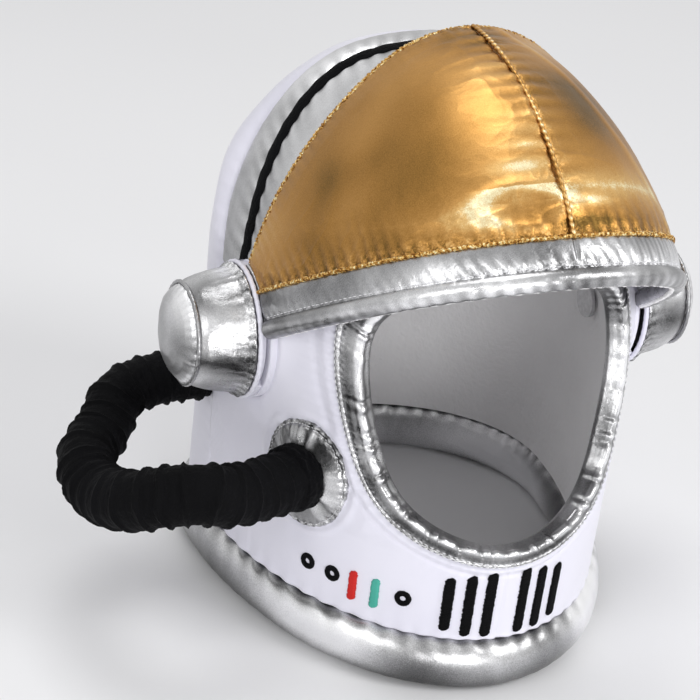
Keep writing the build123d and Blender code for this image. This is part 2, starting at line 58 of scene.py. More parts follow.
def make_camera():
    right = CAMERA_UP.cross(CAMERA_BACK).normalized()
    up = CAMERA_BACK.cross(right).normalized()
    data = bpy.data.cameras.new("camera")
    data.lens = CAMERA_LENS
    data.sensor_width = 36.0
    data.clip_start = 0.05
    camera = add_object("camera", data)
    turn = Matrix((right, up, CAMERA_BACK)).transposed().to_4x4()
    camera.matrix_world = Matrix.Translation(CAMERA_PLACE) @ turn
    bpy.context.scene.camera = camera


make_camera()

HOSE_ROUTE = [
    (-0.0778, -0.0506, 0.0855), (-0.1095, -0.0657, 0.0855), (-0.1352, -0.0705, 0.0944),
    (-0.1591, -0.0532, 0.0813), (-0.1641, -0.0248, 0.0710), (-0.1643, -0.0019, 0.0751),
    (-0.1480, 0.0145, 0.0773), (-0.1357, 0.0340, 0.0920), (-0.0948, 0.0340, 0.0920),
]


def nurbs_points(name, points, resolution=24):
    """Points along a smooth spline that has the given control points."""
    curve = bpy.data.curves.new(name, "CURVE")
    curve.dimensions = "3D"
    spline = curve.splines.new("NURBS")
    spline.points.add(len(points) - 1)
    for control, point in zip(spline.points, points):
        control.co = (*point, 1.0)
    spline.order_u = 3
    spline.use_endpoint_u = True
    spline.resolution_u = resolution
    holder = add_object(name, curve)
    bpy.context.view_layer.update()
    mesh = bpy.data.meshes.new_from_object(holder)
    path = np.array([v.co for v in mesh.vertices], float)
    bpy.data.objects.remove(holder)
    bpy.data.meshes.remove(mesh)
    return path


# Noise and small helpers. Lengths are in millimetres until a mesh is made.

DETAIL = 1.0
LATTICE_SIZE = 64
rng = np.random.RandomState(7)
LATTICE = rng.rand(LATTICE_SIZE, LATTICE_SIZE, LATTICE_SIZE).astype(np.float32) * 2 - 1


def count(n):
    return max(8, int(n * DETAIL))


def noise(points, scale, seed=0):
    """Smooth noise from -1 to 1 whose lumps are about scale across."""
    q = np.asarray(points, float) / scale + seed * 17.37
    cell = np.floor(q).astype(int)
    f = q - cell
    f = f * f * (3 - 2 * f)
    total = 0
    for corner in np.ndindex(2, 2, 2):
        share = np.where(corner, f, 1 - f)
        x, y, z = np.moveaxis((cell + corner) % LATTICE_SIZE, -1, 0)
        total = total + share[..., 0] * share[..., 1] * share[..., 2] * LATTICE[x, y, z]
    return total


def billows(points, scale, seed):
    """Soft noise in two layers, the second finer and fainter."""
    return noise(points, scale, seed) + 0.5 * noise(points, scale * 0.5, seed + 1)


def creases(points, scale, seed, layers=2):
    """Sharp ridges with flat fields between them, as in creased foil: 0 to 1."""
    total = 0
    for i in range(layers):
        ridge = (1 - np.abs(noise(points, scale * 0.5**i, seed + i)) * 1.7).clip(0, 1) ** 3
        total = total + ridge * 0.5**i
    return total / 1.75


def in_row(x):
    """Values set out along a line, for noise that changes along it alone."""
    return np.stack([x, 0 * x, 0 * x], -1)


def wave(along, length, seed):
    """An uneven row of gathers along a seam, from -1 to 1."""
    line = in_row(np.asarray(along, float))
    drift = noise(line, length * 6, seed) * 2.4 + noise(line, length * 2.2, seed + 3) * 0.9
    return np.sin(along * 2 * np.pi / length + drift) * (0.65 + 0.35 * noise(line, length * 3, seed + 5))


def near(distance, reach):
    """1 at a seam, fading to 0 within about twice the reach."""
    return np.exp(-np.maximum(distance, 0) / reach)


def hump(value, middle, reach):
    """1 at the middle, fading to 0 on both sides of it."""
    return np.exp(-((value - middle) / reach) ** 2)


def ramp01(value, low, high):
    t = np.clip((value - low) / (high - low), 0, 1)
    return t * t * (3 - 2 * t)


def circle(n):
    """Angles once round."""
    return np.linspace(0, 2 * np.pi, count(n), endpoint=False)


def loop_of(turn):
    """Places round a circle, so that noise read there meets itself after a full turn."""
    return np.stack([np.cos(turn), np.sin(turn), 0 * turn], -1)


def smoothed(values, kernel):
    kernel = np.array(kernel) / sum(kernel)
    return np.convolve(np.pad(values, len(kernel) // 2, mode="edge"), kernel, "valid")


def unit(vectors):
    return vectors / np.maximum(np.linalg.norm(vectors, axis=-1, keepdims=True), 1e-9)


def normals_of(grid, wrap_u=False, wrap_v=False):
    def step(axis, wrap):
        if wrap:
            return np.roll(grid, -1, axis) - np.roll(grid, 1, axis)
        return np.gradient(grid, axis=axis)
    return unit(np.cross(step(0, wrap_u), step(1, wrap_v)))


def lengths_along(grid, axis):
    step = np.linalg.norm(np.diff(grid, axis=axis), axis=-1)
    total = np.cumsum(step, axis)
    pad = [(0, 0)] * total.ndim
    pad[axis] = (1, 0)
    return np.pad(total, pad)


def resample(path, n):
    at = lengths_along(path, 0)
    s = np.linspace(0, at[-1], n)
    return places_at(path, at, s), s


def places_at(path, at, s):
    """The path's values at lengths s, where at is the length up to each of its points."""
    return np.stack([np.interp(s, at, column) for column in path.T], -1)


def tube_frames(path, up=(0.0, 0.0, 1.0)):
    """Two directions across a path: one to the side of up, and one as near to up as can be."""
    tangent = unit(np.gradient(path, axis=0))
    side = unit(np.cross(tangent, up))
    return side, np.cross(side, tangent)


def sweep(line, side, up, radius, turns):
    """A tube round a line, with a radius for each place and turn."""
    ring = np.cos(turns)[:, None] * side[:, None] + np.sin(turns)[:, None] * up[:, None]
    return line[:, None] + radius[..., None] * ring


def set_cloth_values(mesh, tone_and_painted_light=None, crush_and_painted_glints=None):
    """The per-point values that steer the cloth's colour: random tone with painted reflections, highlights
    and shade, and where it is crushed, which adds painted glints.
    """
    for label, values, usual in (("tone_and_painted_light", tone_and_painted_light, 0.5), ("crush_and_painted_glints", crush_and_painted_glints, 0.0)):
        layer = mesh.attributes.new(label, "FLOAT", "POINT")
        if values is None:
            values = np.full(len(mesh.vertices), usual)
        layer.data.foreach_set("value", np.clip(np.ravel(values), 0, 1).astype(np.float32))


def dress(piece, body, replaced, material):
    """Sets a piece on its body, in the place of solids, with a material."""
    piece.data.polygons.foreach_set("use_smooth", [True] * len(piece.data.polygons))
    piece.data.materials.append(material)
    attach(piece, body)
    if replaced:
        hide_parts(*replaced)
    return piece


def mesh_object(name, vertices, faces, replaced, material, body=SHELL, tone_and_painted_light=None, crush_and_painted_glints=None):
    """A piece from millimetres."""
    mesh = bpy.data.meshes.new(name)
    mesh.from_pydata((np.asarray(vertices, float) * MM).tolist(), [], faces)
    set_cloth_values(mesh, tone_and_painted_light, crush_and_painted_glints)
    drop_loose(mesh)
    return dress(add_object(name, mesh), body, replaced, material)


def drop_loose(mesh):
    b = bmesh.new()
    b.from_mesh(mesh)
    loose = [v for v in b.verts if not v.link_faces]
    bmesh.ops.delete(b, geom=loose, context="VERTS")
    b.to_mesh(mesh)
    b.free()


def grid_faces(nu, nv, wrap_u=False, wrap_v=False, keep=None, inside=None, flip=False):
    iu = np.arange(nu if wrap_u else nu - 1)
    iv = np.arange(nv if wrap_v else nv - 1)
    a, b = np.meshgrid(iu, iv, indexing="ij")
    a2, b2 = (a + 1) % nu, (b + 1) % nv
    quads = np.stack([a * nv + b, a2 * nv + b, a2 * nv + b2, a * nv + b2], -1)
    if flip:
        quads = quads[..., ::-1]
    quads = quads.reshape(-1, 4)
    if keep is not None:
        whole = keep[a, b] & keep[a2, b] & keep[a2, b2] & keep[a, b2]
        some = inside[a, b] | inside[a2, b] | inside[a2, b2] | inside[a, b2]
        quads = quads[(whole & some).reshape(-1)]
    return quads.tolist()


def trim(p, d, wrap_v=False):
    """Keeps the grid where d is over zero, and draws its rim onto the line d = 0."""
    inside = d > 0
    rim = np.zeros_like(inside)
    best = np.full(d.shape, -1.0)
    toward = p.copy()
    for du in (-1, 0, 1):
        for dv in (-1, 0, 1):
            if not du and not dv:
                continue
            nd, np_ = np.roll(d, (du, dv), (0, 1)), np.roll(p, (du, dv), (0, 1))
            ok = nd > 0
            if du:
                ok[0 if du > 0 else -1] = False
            if dv and not wrap_v:
                ok[:, 0 if dv > 0 else -1] = False
            found = ~inside & ok & (nd > best)
            best = np.where(found, nd, best)
            toward = np.where(found[..., None], np_, toward)
            rim |= ~inside & ok
    t = np.where(rim, d / np.minimum(d - best, -1e-6), 0.0)
    p = p + (toward - p) * np.clip(t, 0, 1)[..., None]
    return p, inside | rim, inside


def grid_object(name, grid, replaced, material, body=SHELL, wrap_u=False, wrap_v=False, d=None,
                flip=False, thick=0.0, tone_and_painted_light=None, crush_and_painted_glints=None):
    """A piece of cloth from a grid of places, kept where d is over zero."""
    nu, nv = grid.shape[:2]
    keep = inside = None
    if d is not None:
        grid, keep, inside = trim(grid, d, wrap_v)
    faces = grid_faces(nu, nv, wrap_u, wrap_v, keep, inside, flip)
    piece = mesh_object(name, grid.reshape(-1, 3), faces, replaced, material, body, tone_and_painted_light, crush_and_painted_glints)
    if thick:
        solid = piece.modifiers.new("thickness", "SOLIDIFY")
        solid.thickness = thick * MM
        solid.offset = -1.0
    return piece


def spline_through(points, first=None, last=None, closed=False, count=400):
    """A smooth curve through points, paced by the distance between them."""
    p = np.asarray(points, float)
    if closed:
        p = np.vstack([p, p[:1]])
    h = np.linalg.norm(np.diff(p, axis=0), axis=1)
    n = len(p)
    a, b = np.zeros((n, n)), np.zeros((n, p.shape[1]))
    for i in range(1, n - 1):
        a[i, i - 1], a[i, i], a[i, i + 1] = h[i], 2 * (h[i - 1] + h[i]), h[i - 1]
        b[i] = 3 * (h[i] * (p[i] - p[i - 1]) / h[i - 1] + h[i - 1] * (p[i + 1] - p[i]) / h[i])
    if closed:
        a[0, 0], a[0, n - 1] = 1, -1
        a[n - 1, n - 2], a[n - 1, n - 1], a[n - 1, 1] = h[0], 2 * (h[-1] + h[0]), h[-1]
        b[n - 1] = 3 * (h[0] * (p[-1] - p[-2]) / h[-1] + h[-1] * (p[1] - p[0]) / h[0])
    else:
        a[0, 0], a[-1, -1] = 1, 1
        b[0], b[-1] = first, last
    m = np.linalg.solve(a, b)
    t = np.concatenate([[0], np.cumsum(h)])
    s = np.linspace(0, t[-1], count + 1)
    k = np.clip(np.searchsorted(t, s, side="right") - 1, 0, n - 2)
    u = ((s - t[k]) / h[k])[:, None]
    hk = h[k][:, None]
    out = (
        (2 * u**3 - 3 * u**2 + 1) * p[k] + (u**3 - 2 * u**2 + u) * hk * m[k]
        + (-2 * u**3 + 3 * u**2) * p[k + 1] + (u**3 - u**2) * hk * m[k + 1]
    )
    return out[:-1] if closed else out


# The shell's two forms, from the same values as the solids

HALF_WIDTH, SETBACK, BASE, EAR, TOP = 94.0, 35.0, 25.6, 132.7, 251.0
FRONT_TOP = 249.5
FRONT_STRETCH = (108.0 + SETBACK) / HALF_WIDTH
REAR_STRETCH = (111.0 - SETBACK) / HALF_WIDTH
FRONT_SHARES = [
    (1.0, 0.0), (1.005, 0.20), (1.0, 0.38), (0.989, 0.512), (0.936, 0.637),
    (0.862, 0.748), (0.761, 0.837), (0.61, 0.918), (0.43, 0.970), (0.0, 1.0),
]
REAR_SHARES = [
    (1.0, 0.0), (1.005, 0.20), (1.005, 0.42), (1.0, 0.655), (0.951, 0.743),
    (0.83, 0.832), (0.66, 0.911), (0.48, 0.958), (0.0, 1.0),
]


def last_inside(low, high, is_inside, steps):
    """The last place that is inside, between low, which is, and high, which isn't."""
    for _ in range(steps):
        middle = (low + high) / 2
        inside = is_inside(middle)
        low, high = np.where(inside, middle, low), np.where(inside, high, middle)
    return low


class Form:
    """An egg form: a profile carried round an ellipse whose front and back differ in depth."""

    def __init__(self, shares, height):
        points = [(w * HALF_WIDTH, BASE + h * (height - BASE)) for w, h in shares]
        self.line = spline_through(points, (0, 1), (-1, 0), count=1200)
        self.s = lengths_along(self.line, 0)
        self.s /= self.s[-1]
        self.slope = unit(np.gradient(self.line, axis=0))
        self.height = height

    def at(self, s):
        return np.interp(s, self.s, self.line[:, 0]), np.interp(s, self.s, self.line[:, 1])

    def s_of_z(self, z):
        return np.interp(z, self.line[:, 1], self.s)

    def width(self, z):
        return np.where(z > self.height, 0.0, np.interp(z, self.line[:, 1], self.line[:, 0]))

    def point(self, s, a):
        x, z = self.at(s)
        return round_form(x, z, a)

    def normal(self, s, a):
        dx, dz = np.interp(s, self.s, self.slope[:, 0]), np.interp(s, self.s, self.slope[:, 1])
        return unit(np.stack([np.cos(a) * dz, np.sin(a) / stretch(np.sin(a)) * dz, -dx + 0 * a], -1))

    def normal_at(self, p):
        depth = p[..., 1] - SETBACK
        return self.normal(self.s_of_z(p[..., 2]), np.arctan2(depth / stretch(depth), p[..., 0]))

    def front_of(self, x, z):
        """The place on the front wall straight ahead of (x, z)."""
        y = SETBACK - FRONT_STRETCH * np.sqrt(np.maximum(self.width(z) ** 2 - x**2, 0))
        return np.stack([x + 0 * z, y, z + 0 * x], -1)

    def over(self, y, turn):
        """The place in the plane at y that lies at an angle about the ear axis, from +X up."""
        depth = (y - SETBACK) / stretch(y - SETBACK)

        def is_inside(r):
            return np.hypot(r * np.cos(turn), depth) < self.width(EAR + r * np.sin(turn))

        r = last_inside(20 + 0 * turn, 170 + 0 * turn, is_inside, 44)
        return np.stack([r * np.cos(turn), y + 0 * turn, EAR + r * np.sin(turn)], -1)


def stretch(depth):
    """How much deeper than wide the ellipse is, ahead of its middle or behind it."""
    return np.where(depth < 0, FRONT_STRETCH, REAR_STRETCH)


def round_form(x, z, a):
    """Places round the ellipse of half width x at height z."""
    return np.stack([x * np.cos(a), SETBACK + stretch(np.sin(a)) * x * np.sin(a), z + 0 * a], -1)


F = Form(FRONT_SHARES, FRONT_TOP)
R = Form(REAR_SHARES, TOP)


def side_seam(z):
    return np.interp(z, [0, EAR, EAR + 42, TOP], [21.0, 21.0, 42.0, 52.0])


OPENING_SHARES = [
    (0.0, 0.0), (0.415, 0.037), (0.735, 0.135), (0.929, 0.352),
    (1.0, 0.611), (0.952, 0.758), (0.70, 0.905), (0.0, 1.0),
]
OPENING_HALF_WIDTH, OPENING_LOW, OPENING_TOP, OPENING_MIDDLE = 70.6, 63.9, 200.0, 130.0


def opening_line(inset, count=600):
    width, low = OPENING_HALF_WIDTH - inset, OPENING_LOW + inset
    rise = OPENING_TOP - inset - low
    right = [(w * width, low + h * rise) for w, h in OPENING_SHARES]
    left = [(-x, z) for x, z in reversed(right[1:-1])]
    return spline_through(right + left, closed=True, count=count)


OPENING = opening_line(0.0)


def opening_distance(x, z):
    """How far (x, z) is outside the face opening; less than zero inside it."""
    p = np.stack([x, z], -1).reshape(-1, 2)
    a, b = OPENING[::3], np.roll(OPENING[::3], -1, 0)
    out = []
    for q in np.array_split(p, max(1, len(p) // 4000)):
        along = (((q[:, None] - a) * (b - a)).sum(-1) / ((b - a) ** 2).sum(-1)).clip(0, 1)
        foot = a + along[..., None] * (b - a)
        out.append(np.sqrt(((q[:, None] - foot) ** 2).sum(-1)).min(1))
    d = np.concatenate(out)
    centre = np.array([0.0, OPENING_MIDDLE])
    angle = np.arctan2(*(p - centre).T[::-1])
    rim = np.arctan2(*(OPENING - centre).T[::-1])
    order = np.argsort(rim)
    reach = np.interp(angle, rim[order], np.hypot(*(OPENING[order] - centre).T), period=2 * np.pi)
    outside = np.hypot(*(p - centre).T) > reach
    return np.where(outside, d, -d).reshape(x.shape)


def on_wall(place, across, high, reach=12.0):
    """Points of the plane that touches the front wall at a place, set back square onto the wall."""
    normal = F.normal_at(place[None])[0]
    along = unit(np.cross([0, 0, 1.0], normal))
    flat = place + along * across[..., None] + np.cross(normal, along) * high[..., None]

    def is_inside(out):
        x, y, z = np.moveaxis(flat + normal * out[..., None], -1, 0)
        return np.hypot(x, (y - SETBACK) / FRONT_STRETCH) < F.width(z)

    ends = (np.full(flat.shape[:-1], end) for end in (-reach, reach))
    return flat + normal * last_inside(*ends, is_inside, 30)[..., None], normal


def cup_clearance(p):
    """Distance outside the ring where the ear pads meet the cover, which runs on under them."""
    ear = np.hypot(p[..., 1], p[..., 2] - EAR)
    out = np.abs(p[..., 0])
    return ear - 28.5 - 2.1 * ramp01(out, 84.5, 87.0) - 0.8 * ramp01(out, 91.0, 93.0)


# Materials

LUMP_DEPTH, GRAIN_DEPTH = 0.0012, 0.0002  # in metres


class Nodes:
    """A node tree, with short ways to add nodes to it."""

    def __init__(self, tree):
        self.tree = tree

    def feed(self, node, inputs):
        """Gives each named input a value, or a link from another node's output."""
        for label, value in inputs.items():
            if isinstance(value, bpy.types.NodeSocket):
                self.tree.links.new(value, node.inputs[label])
            else:
                node.inputs[label].default_value = value

    def add(self, kind, inputs, **settings):
        node = self.tree.nodes.new("ShaderNode" + kind)
        for label, value in settings.items():
            setattr(node, label, value)
        self.feed(node, inputs)
        return node

    def texture(self, kind, inputs, **settings):
        place = self.add("TexCoord", {}).outputs["Object"]
        return self.add(kind, {"Vector": place, **inputs}, **settings).outputs["Fac"]

    def noise(self, scale, detail=3.0, distortion=0.0):
        return self.texture("TexNoise", {"Scale": scale, "Detail": detail, "Distortion": distortion})

    def weave(self, scale):
        """Crossed threads, as two sets of fine bands."""
        inputs = {"Scale": scale, "Distortion": 0.6, "Detail": 1.0}
        bands = [self.texture("TexWave", inputs, bands_direction=way) for way in ("X", "Z")]
        return self.maths("MULTIPLY", *bands)

    def maths(self, operation, a, b, clamp=False):
        return self.add("Math", {0: a, 1: b}, operation=operation, use_clamp=clamp).outputs[0]

    def mix_of(self, *parts):
        """The sum of values times their shares."""
        total = 0.0
        for value, share in parts:
            total = self.maths("ADD", total, self.maths("MULTIPLY", value, share))
        return total

    def attribute(self, label):
        return self.add("Attribute", {}, attribute_name=label).outputs["Fac"]

    def ramp(self, source, stops):
        node = self.add("ValToRGB", {0: source})
        elements = node.color_ramp.elements
        elements[0].position, elements[0].color = stops[0][0], (*stops[0][1], 1)
        elements[1].position, elements[1].color = stops[-1][0], (*stops[-1][1], 1)
        for place, colour in stops[1:-1]:
            elements.new(place).color = (*colour, 1)
        return node.outputs[0]

    def bump(self, shader, *layers):
        """Layers of (height, strength, distance in metres), each on the last."""
        below = {}
        for height, strength, distance in layers:
            inputs = {"Height": height, "Strength": strength, "Distance": distance, **below}
            below = {"Normal": self.add("Bump", inputs).outputs["Normal"]}
        self.feed(shader, below)


def new_material(name):
    material = bpy.data.materials.new(name)
    material.use_nodes = True
    return material, Nodes(material.node_tree), material.node_tree.nodes["Principled BSDF"]


def cloth(name, stops, roughness, sheen=0.0, sheen_roughness=0.5, weave=1400, weave_strength=0.25,
          lumps=60, lump_strength=0.12, tone_scale=18, specular=0.5, metallic=0.0):
    """Woven cloth or thread."""
    material, tree, shader = new_material(name)
    tree.feed(shader, {
        "Base Color": tree.ramp(tree.noise(tone_scale, 4), stops), "Roughness": roughness,
        "Metallic": metallic, "Specular IOR Level": specular,
        "Sheen Weight": sheen, "Sheen Roughness": sheen_roughness,
    })
    tree.bump(shader, (tree.noise(lumps, 4), lump_strength, LUMP_DEPTH),
              (tree.weave(weave), weave_strength, GRAIN_DEPTH))
    return material


def lame(name, stops, roughness, tone_scale=30, painted_light_share=0.45, crease=140, crease_strength=0.25,
         grain_strength=0.35, crush_strength=0.0, metallic=1.0):
    """Metallic cloth: its colour carries painted reflections, highlights and shade along the folds, and
    painted glints where it is crushed at a seam.
    """
    material, tree, shader = new_material(name)
    grain, crush_and_painted_glint_mask = tree.noise(1900, 2), tree.attribute("crush_and_painted_glints")
    # painted glints: specks of light and dark put into the colour where the cloth is crushed
    painted_glint_noise = tree.maths("SUBTRACT", tree.noise(650, 3, 1.0), 0.5)
    # colour: random tone, the painted reflections and shade from the per-point values, grain, and the painted
    # glints
    tone = tree.mix_of((tree.noise(tone_scale, 5, 0.5), 1 - painted_light_share),
                       (tree.attribute("tone_and_painted_light"), painted_light_share),
                       (tree.maths("SUBTRACT", grain, 0.5), 0.22),
                       (tree.maths("MULTIPLY", painted_glint_noise, crush_and_painted_glint_mask), 1.9))
    rough = tree.add("MapRange", {"Value": tree.noise(120, 3), "To Min": roughness - 0.06,
                                  "To Max": roughness + 0.08})
    tree.feed(shader, {"Base Color": tree.ramp(tone, stops), "Metallic": metallic,
                       "Roughness": rough.outputs["Result"]})
    layers = [(tree.noise(crease, 5, 1.2), crease_strength, LUMP_DEPTH), (grain, grain_strength, GRAIN_DEPTH)]
    if crush_strength:
        strength = tree.maths("MULTIPLY", crush_and_painted_glint_mask, crush_strength)
        layers.append((tree.noise(520, 4, 2.0), strength, LUMP_DEPTH))
    tree.bump(shader, *layers)
    return material


def thread(name, dark, pale, roughness=0.5, specular=0.2, slot=None):
    return cloth(name, two_tones(dark, pale), roughness, weave=1100, weave_strength=0.5, lumps=900,
                 lump_strength=0.3, specular=specular)


def greys(*stops):
    return [(place, (g, g, g * 1.015)) for place, g in stops]


def two_tones(dark, pale):
    return [(0.3, dark), (0.7, pale)]


WHITE = cloth("white_satin", two_tones((0.74, 0.73, 0.83), (0.80, 0.79, 0.88)), 0.42, sheen=0.25,
              lump_strength=0.14, lumps=90)
# The lamé ramps run from painted dark reflections up to painted highlights; the per-point values choose where
# each falls.
SILVER = lame("silver_lame", greys((0.28, 0.07), (0.42, 0.27), (0.53, 0.42), (0.64, 0.62), (0.76, 0.97)),
              0.28, 34, crush_strength=0.9)
SILVER_ROLL = lame("silver_lame_roll",
                   greys((0.26, 0.07), (0.40, 0.20), (0.52, 0.42), (0.63, 0.74), (0.74, 0.98)),
                   0.30, 13, 0.55, 40, 0.2, 0.35)
SILVER_BAND = lame("silver_lame_band",
                   greys((0.25, 0.20), (0.40, 0.42), (0.53, 0.58), (0.66, 0.76), (0.80, 0.98)),
                   0.32, 24, 0.5, 70, 0.2)
GOLD = lame("gold_lame", [(0.22, (0.15, 0.085, 0.022)), (0.38, (0.37, 0.19, 0.05)),
                          (0.52, (0.52, 0.28, 0.085)), (0.68, (0.69, 0.44, 0.17)),
                          (0.84, (0.97, 0.92, 0.62))],
            0.36, 12, 0.62, 60, 0.14, 0.2, 0.9)
GOLD_CORD = cloth("gold_cord", [(0.36, (0.16, 0.06, 0.01)), (0.46, (0.55, 0.27, 0.06)),
                                (0.54, (0.82, 0.55, 0.18)), (0.66, (1.0, 0.93, 0.62))],
                  0.32, weave=1800, weave_strength=0.8, lumps=1100, lump_strength=0.9,
                  tone_scale=800, metallic=1.0)
PEARL = lame("pearl_satin", greys((0.26, 0.22), (0.42, 0.42), (0.54, 0.62), (0.68, 0.82), (0.8, 0.96)),
             0.34, 26, 0.6, 60, 0.12, 0.2, 0.5, 0.85)
VELVET = cloth("black_velvet", two_tones((0.002, 0.002, 0.0025), (0.006, 0.006, 0.007)), 0.9,
               sheen=0.04, sheen_roughness=0.35, weave=900, weave_strength=0.6, lumps=700,
               lump_strength=0.5, specular=0.05)
HOSE = cloth("black_hose_cloth", two_tones((0.0015, 0.0015, 0.0018), (0.005, 0.005, 0.006)), 0.72,
             sheen=0.01, sheen_roughness=0.4, weave=700, weave_strength=0.5, lumps=500,
             lump_strength=0.45, specular=0.06)
LINING = cloth("fleece_lining", two_tones((0.86, 0.85, 0.86), (0.94, 0.93, 0.94)), 0.95, sheen=0.3,
               weave=500, weave_strength=0.4, lumps=420, lump_strength=0.6, specular=0.1)
BLACK_THREAD = thread("black_thread", (0.001, 0.001, 0.0012), (0.004, 0.004, 0.005), 0.6, 0.08,
                      "black_velvet")
RED_THREAD = thread("red_thread", (0.50, 0.012, 0.01), (0.64, 0.025, 0.02))
TEAL_THREAD = thread("teal_thread", (0.045, 0.33, 0.26), (0.085, 0.45, 0.36))
STITCH = cloth("seam_thread", two_tones((0.66, 0.66, 0.68), (0.82, 0.82, 0.84)), 0.5)


def steel():
    material, tree, shader = new_material("pressed_steel")
    tone = tree.ramp(tree.noise(400, 3), greys((0.3, 0.5), (0.7, 0.64)))
    tree.feed(shader, {"Base Color": tone, "Metallic": 1.0, "Roughness": 0.35})
    tree.bump(shader, (tree.noise(1500, 2), 0.2, 0.0001))
    return material


STEEL = steel()


# Rows of stitches, each stitch a small capsule lying on the cloth

STITCH_SIDES, STITCH_RINGS, STITCH_FLATNESS = 6, 5, 0.8


def stitches(name, line, up, body, length=2.0, gap=0.9, radius=0.28, closed=False):
    if closed:
        line, up = np.vstack([line, line[:1]]), np.vstack([up, up[:1]])
    at = lengths_along(line, 0)
    n = max(2, int(at[-1] / (length + gap)))
    share = np.linspace(0, 1, STITCH_RINGS)
    s = np.arange(n)[:, None] * at[-1] / n + share * length
    centre = places_at(line, at, s)
    ahead = places_at(line, at, np.minimum(s, at[-1] - 0.2) + 0.2)
    ahead = unit(ahead - places_at(line, at, np.minimum(s, at[-1] - 0.2)))
    side = unit(np.cross(ahead, places_at(up, at, s)))
    lift = np.cross(side, ahead)
    sunk = (2 * share[:, None] - 1) ** 4
    r = radius * np.sqrt(np.maximum(0.05, 1 - sunk))[..., None]
    turn = np.linspace(0, 2 * np.pi, STITCH_SIDES, endpoint=False)[:, None]
    side, lift = side[..., None, :], lift[..., None, :]
    vertices = centre[..., None, :] - lift * radius * 1.2 * sunk[..., None]
    vertices = vertices + r * (np.cos(turn) * side + STITCH_FLATNESS * np.sin(turn) * lift)
    one = grid_faces(STITCH_RINGS, STITCH_SIDES, wrap_v=True, flip=True)
    size = STITCH_RINGS * STITCH_SIDES
    one += [list(reversed(range(STITCH_SIDES))), list(range(size - STITCH_SIDES, size))]
    faces = [[first + i for i in face] for first in range(0, n * size, size) for face in one]
    return mesh_object(name, vertices.reshape(-1, 3), faces, (), STITCH, body)


# Hose

RIB_PITCH = 9.0
HOSE_RADII = ([0, 0.35, 1], [14.6, 14.2, 12.6])  # shares of the length, and radii over the ribs
COLLAR_LENGTH = 10.5


def around_tube(along, turns, girth=1.0):
    """Places on a tube, so that noise read there meets itself after a full turn."""
    return np.stack([along + 0 * turns, girth * np.cos(turns) + 0 * along,
                     girth * np.sin(turns) + 0 * along], -1)


def make_hose():
    path = nurbs_points("hose_line", HOSE_ROUTE) / MM
    line, s = resample(path, count(1200))
    total = s[-1]
    collar_line = line[s < COLLAR_LENGTH]
    radius = np.interp(s / total, *HOSE_RADII)[:, None]
    side, up = tube_frames(line)
    turns = circle(120)
    s = s[:, None]
    ring = (s + 1.4 * noise(around_tube(s / 9, turns, 1.1), 1.0, 3)) / RIB_PITCH
    rib = np.abs(np.sin(np.pi * ring)) ** 0.6
    crest = np.clip(1 - np.abs(ring - np.round(ring)) / 0.2, 0, 1) ** 1.3
    uneven = noise(in_row(np.floor(ring)), 1.7, 9)
    small = np.abs(np.sin(np.pi * (ring * 3 + 0.3 * uneven))) ** 0.5
    r = radius - 1.9 + 0.5 * rib + (1.7 + 0.6 * uneven) * crest + 0.22 * small
    r = r + 0.5 * noise(around_tube(np.floor(ring) * 3.1, turns), 0.55, 12)
    r = r * (1 - 0.04 * np.clip(1 - s / 9.0, 0, 1))
    surface = sweep(line, side, up, r, turns)
    surface += 0.2 * noise(surface, 1.9, 5)[..., None] * normals_of(surface, wrap_v=True)
    ends = [surface[rows] * 0.3 + line[rows, None] * 0.7 for rows in (slice(1), slice(-1, None))]
    surface = np.concatenate([ends[0], surface, ends[1]])
    piece = grid_object("hose", surface, ("hose_sleeve", "hose_rear_cuff"), HOSE, wrap_v=True)
    collar = make_collar(collar_line, turns)


def make_collar(front, turns):
    """The soft collar of pile round the hose's front end."""
    n = count(60)
    spots, _ = resample(front, n)
    share = np.linspace(0, 1, n)[:, None]
    bulge = 12.6 + 2.6 * np.sqrt(np.clip(1 - (2 * share - 1) ** 6, 0, 1))
    collar = sweep(spots, *tube_frames(spots), bulge, turns)
    pile = 0.6 * noise(collar, 1.3, 8) + 0.4 * noise(collar, 4.0, 10)
    collar += pile[..., None] * normals_of(collar, wrap_v=True)
    return grid_object("hose_front_collar", collar, ("hose_front_cuff",), VELVET, wrap_v=True)


make_hose()


# Shell cover

PATCH_PLACE = np.array([-76.0, -50.2, 85.5])
CUP_COVER_RISE = 87.6
HEM_SCALE, HEM_SHIFT = np.array([0.972, 0.972, 1.0]), np.array([0, 0.9, -0.1])
COVER_THICKNESS = 1.2


def front_grid(nu, nv):
    """Places, normals and angles on the front form, and how far each is outside the opening."""
    s = np.linspace(0, 1, count(nu))[:, None]
    a = circle(nv)
    s, a = s + 0 * a, a + 0 * s
    p = F.point(s, a)
    gap = np.where(p[..., 1] < 20, opening_distance(p[..., 0], p[..., 2]), 60.0)
    return p, F.normal(s, a), a, gap


def base_gathers(a, level):
    return 0.5 * wave(a * 100, 8.5, 4) * near(level - BASE, 4.0)


def with_hem(p):
    """The cover with its lower edge turned in."""
    return np.concatenate([p[:1] * HEM_SCALE + HEM_SHIFT, p])


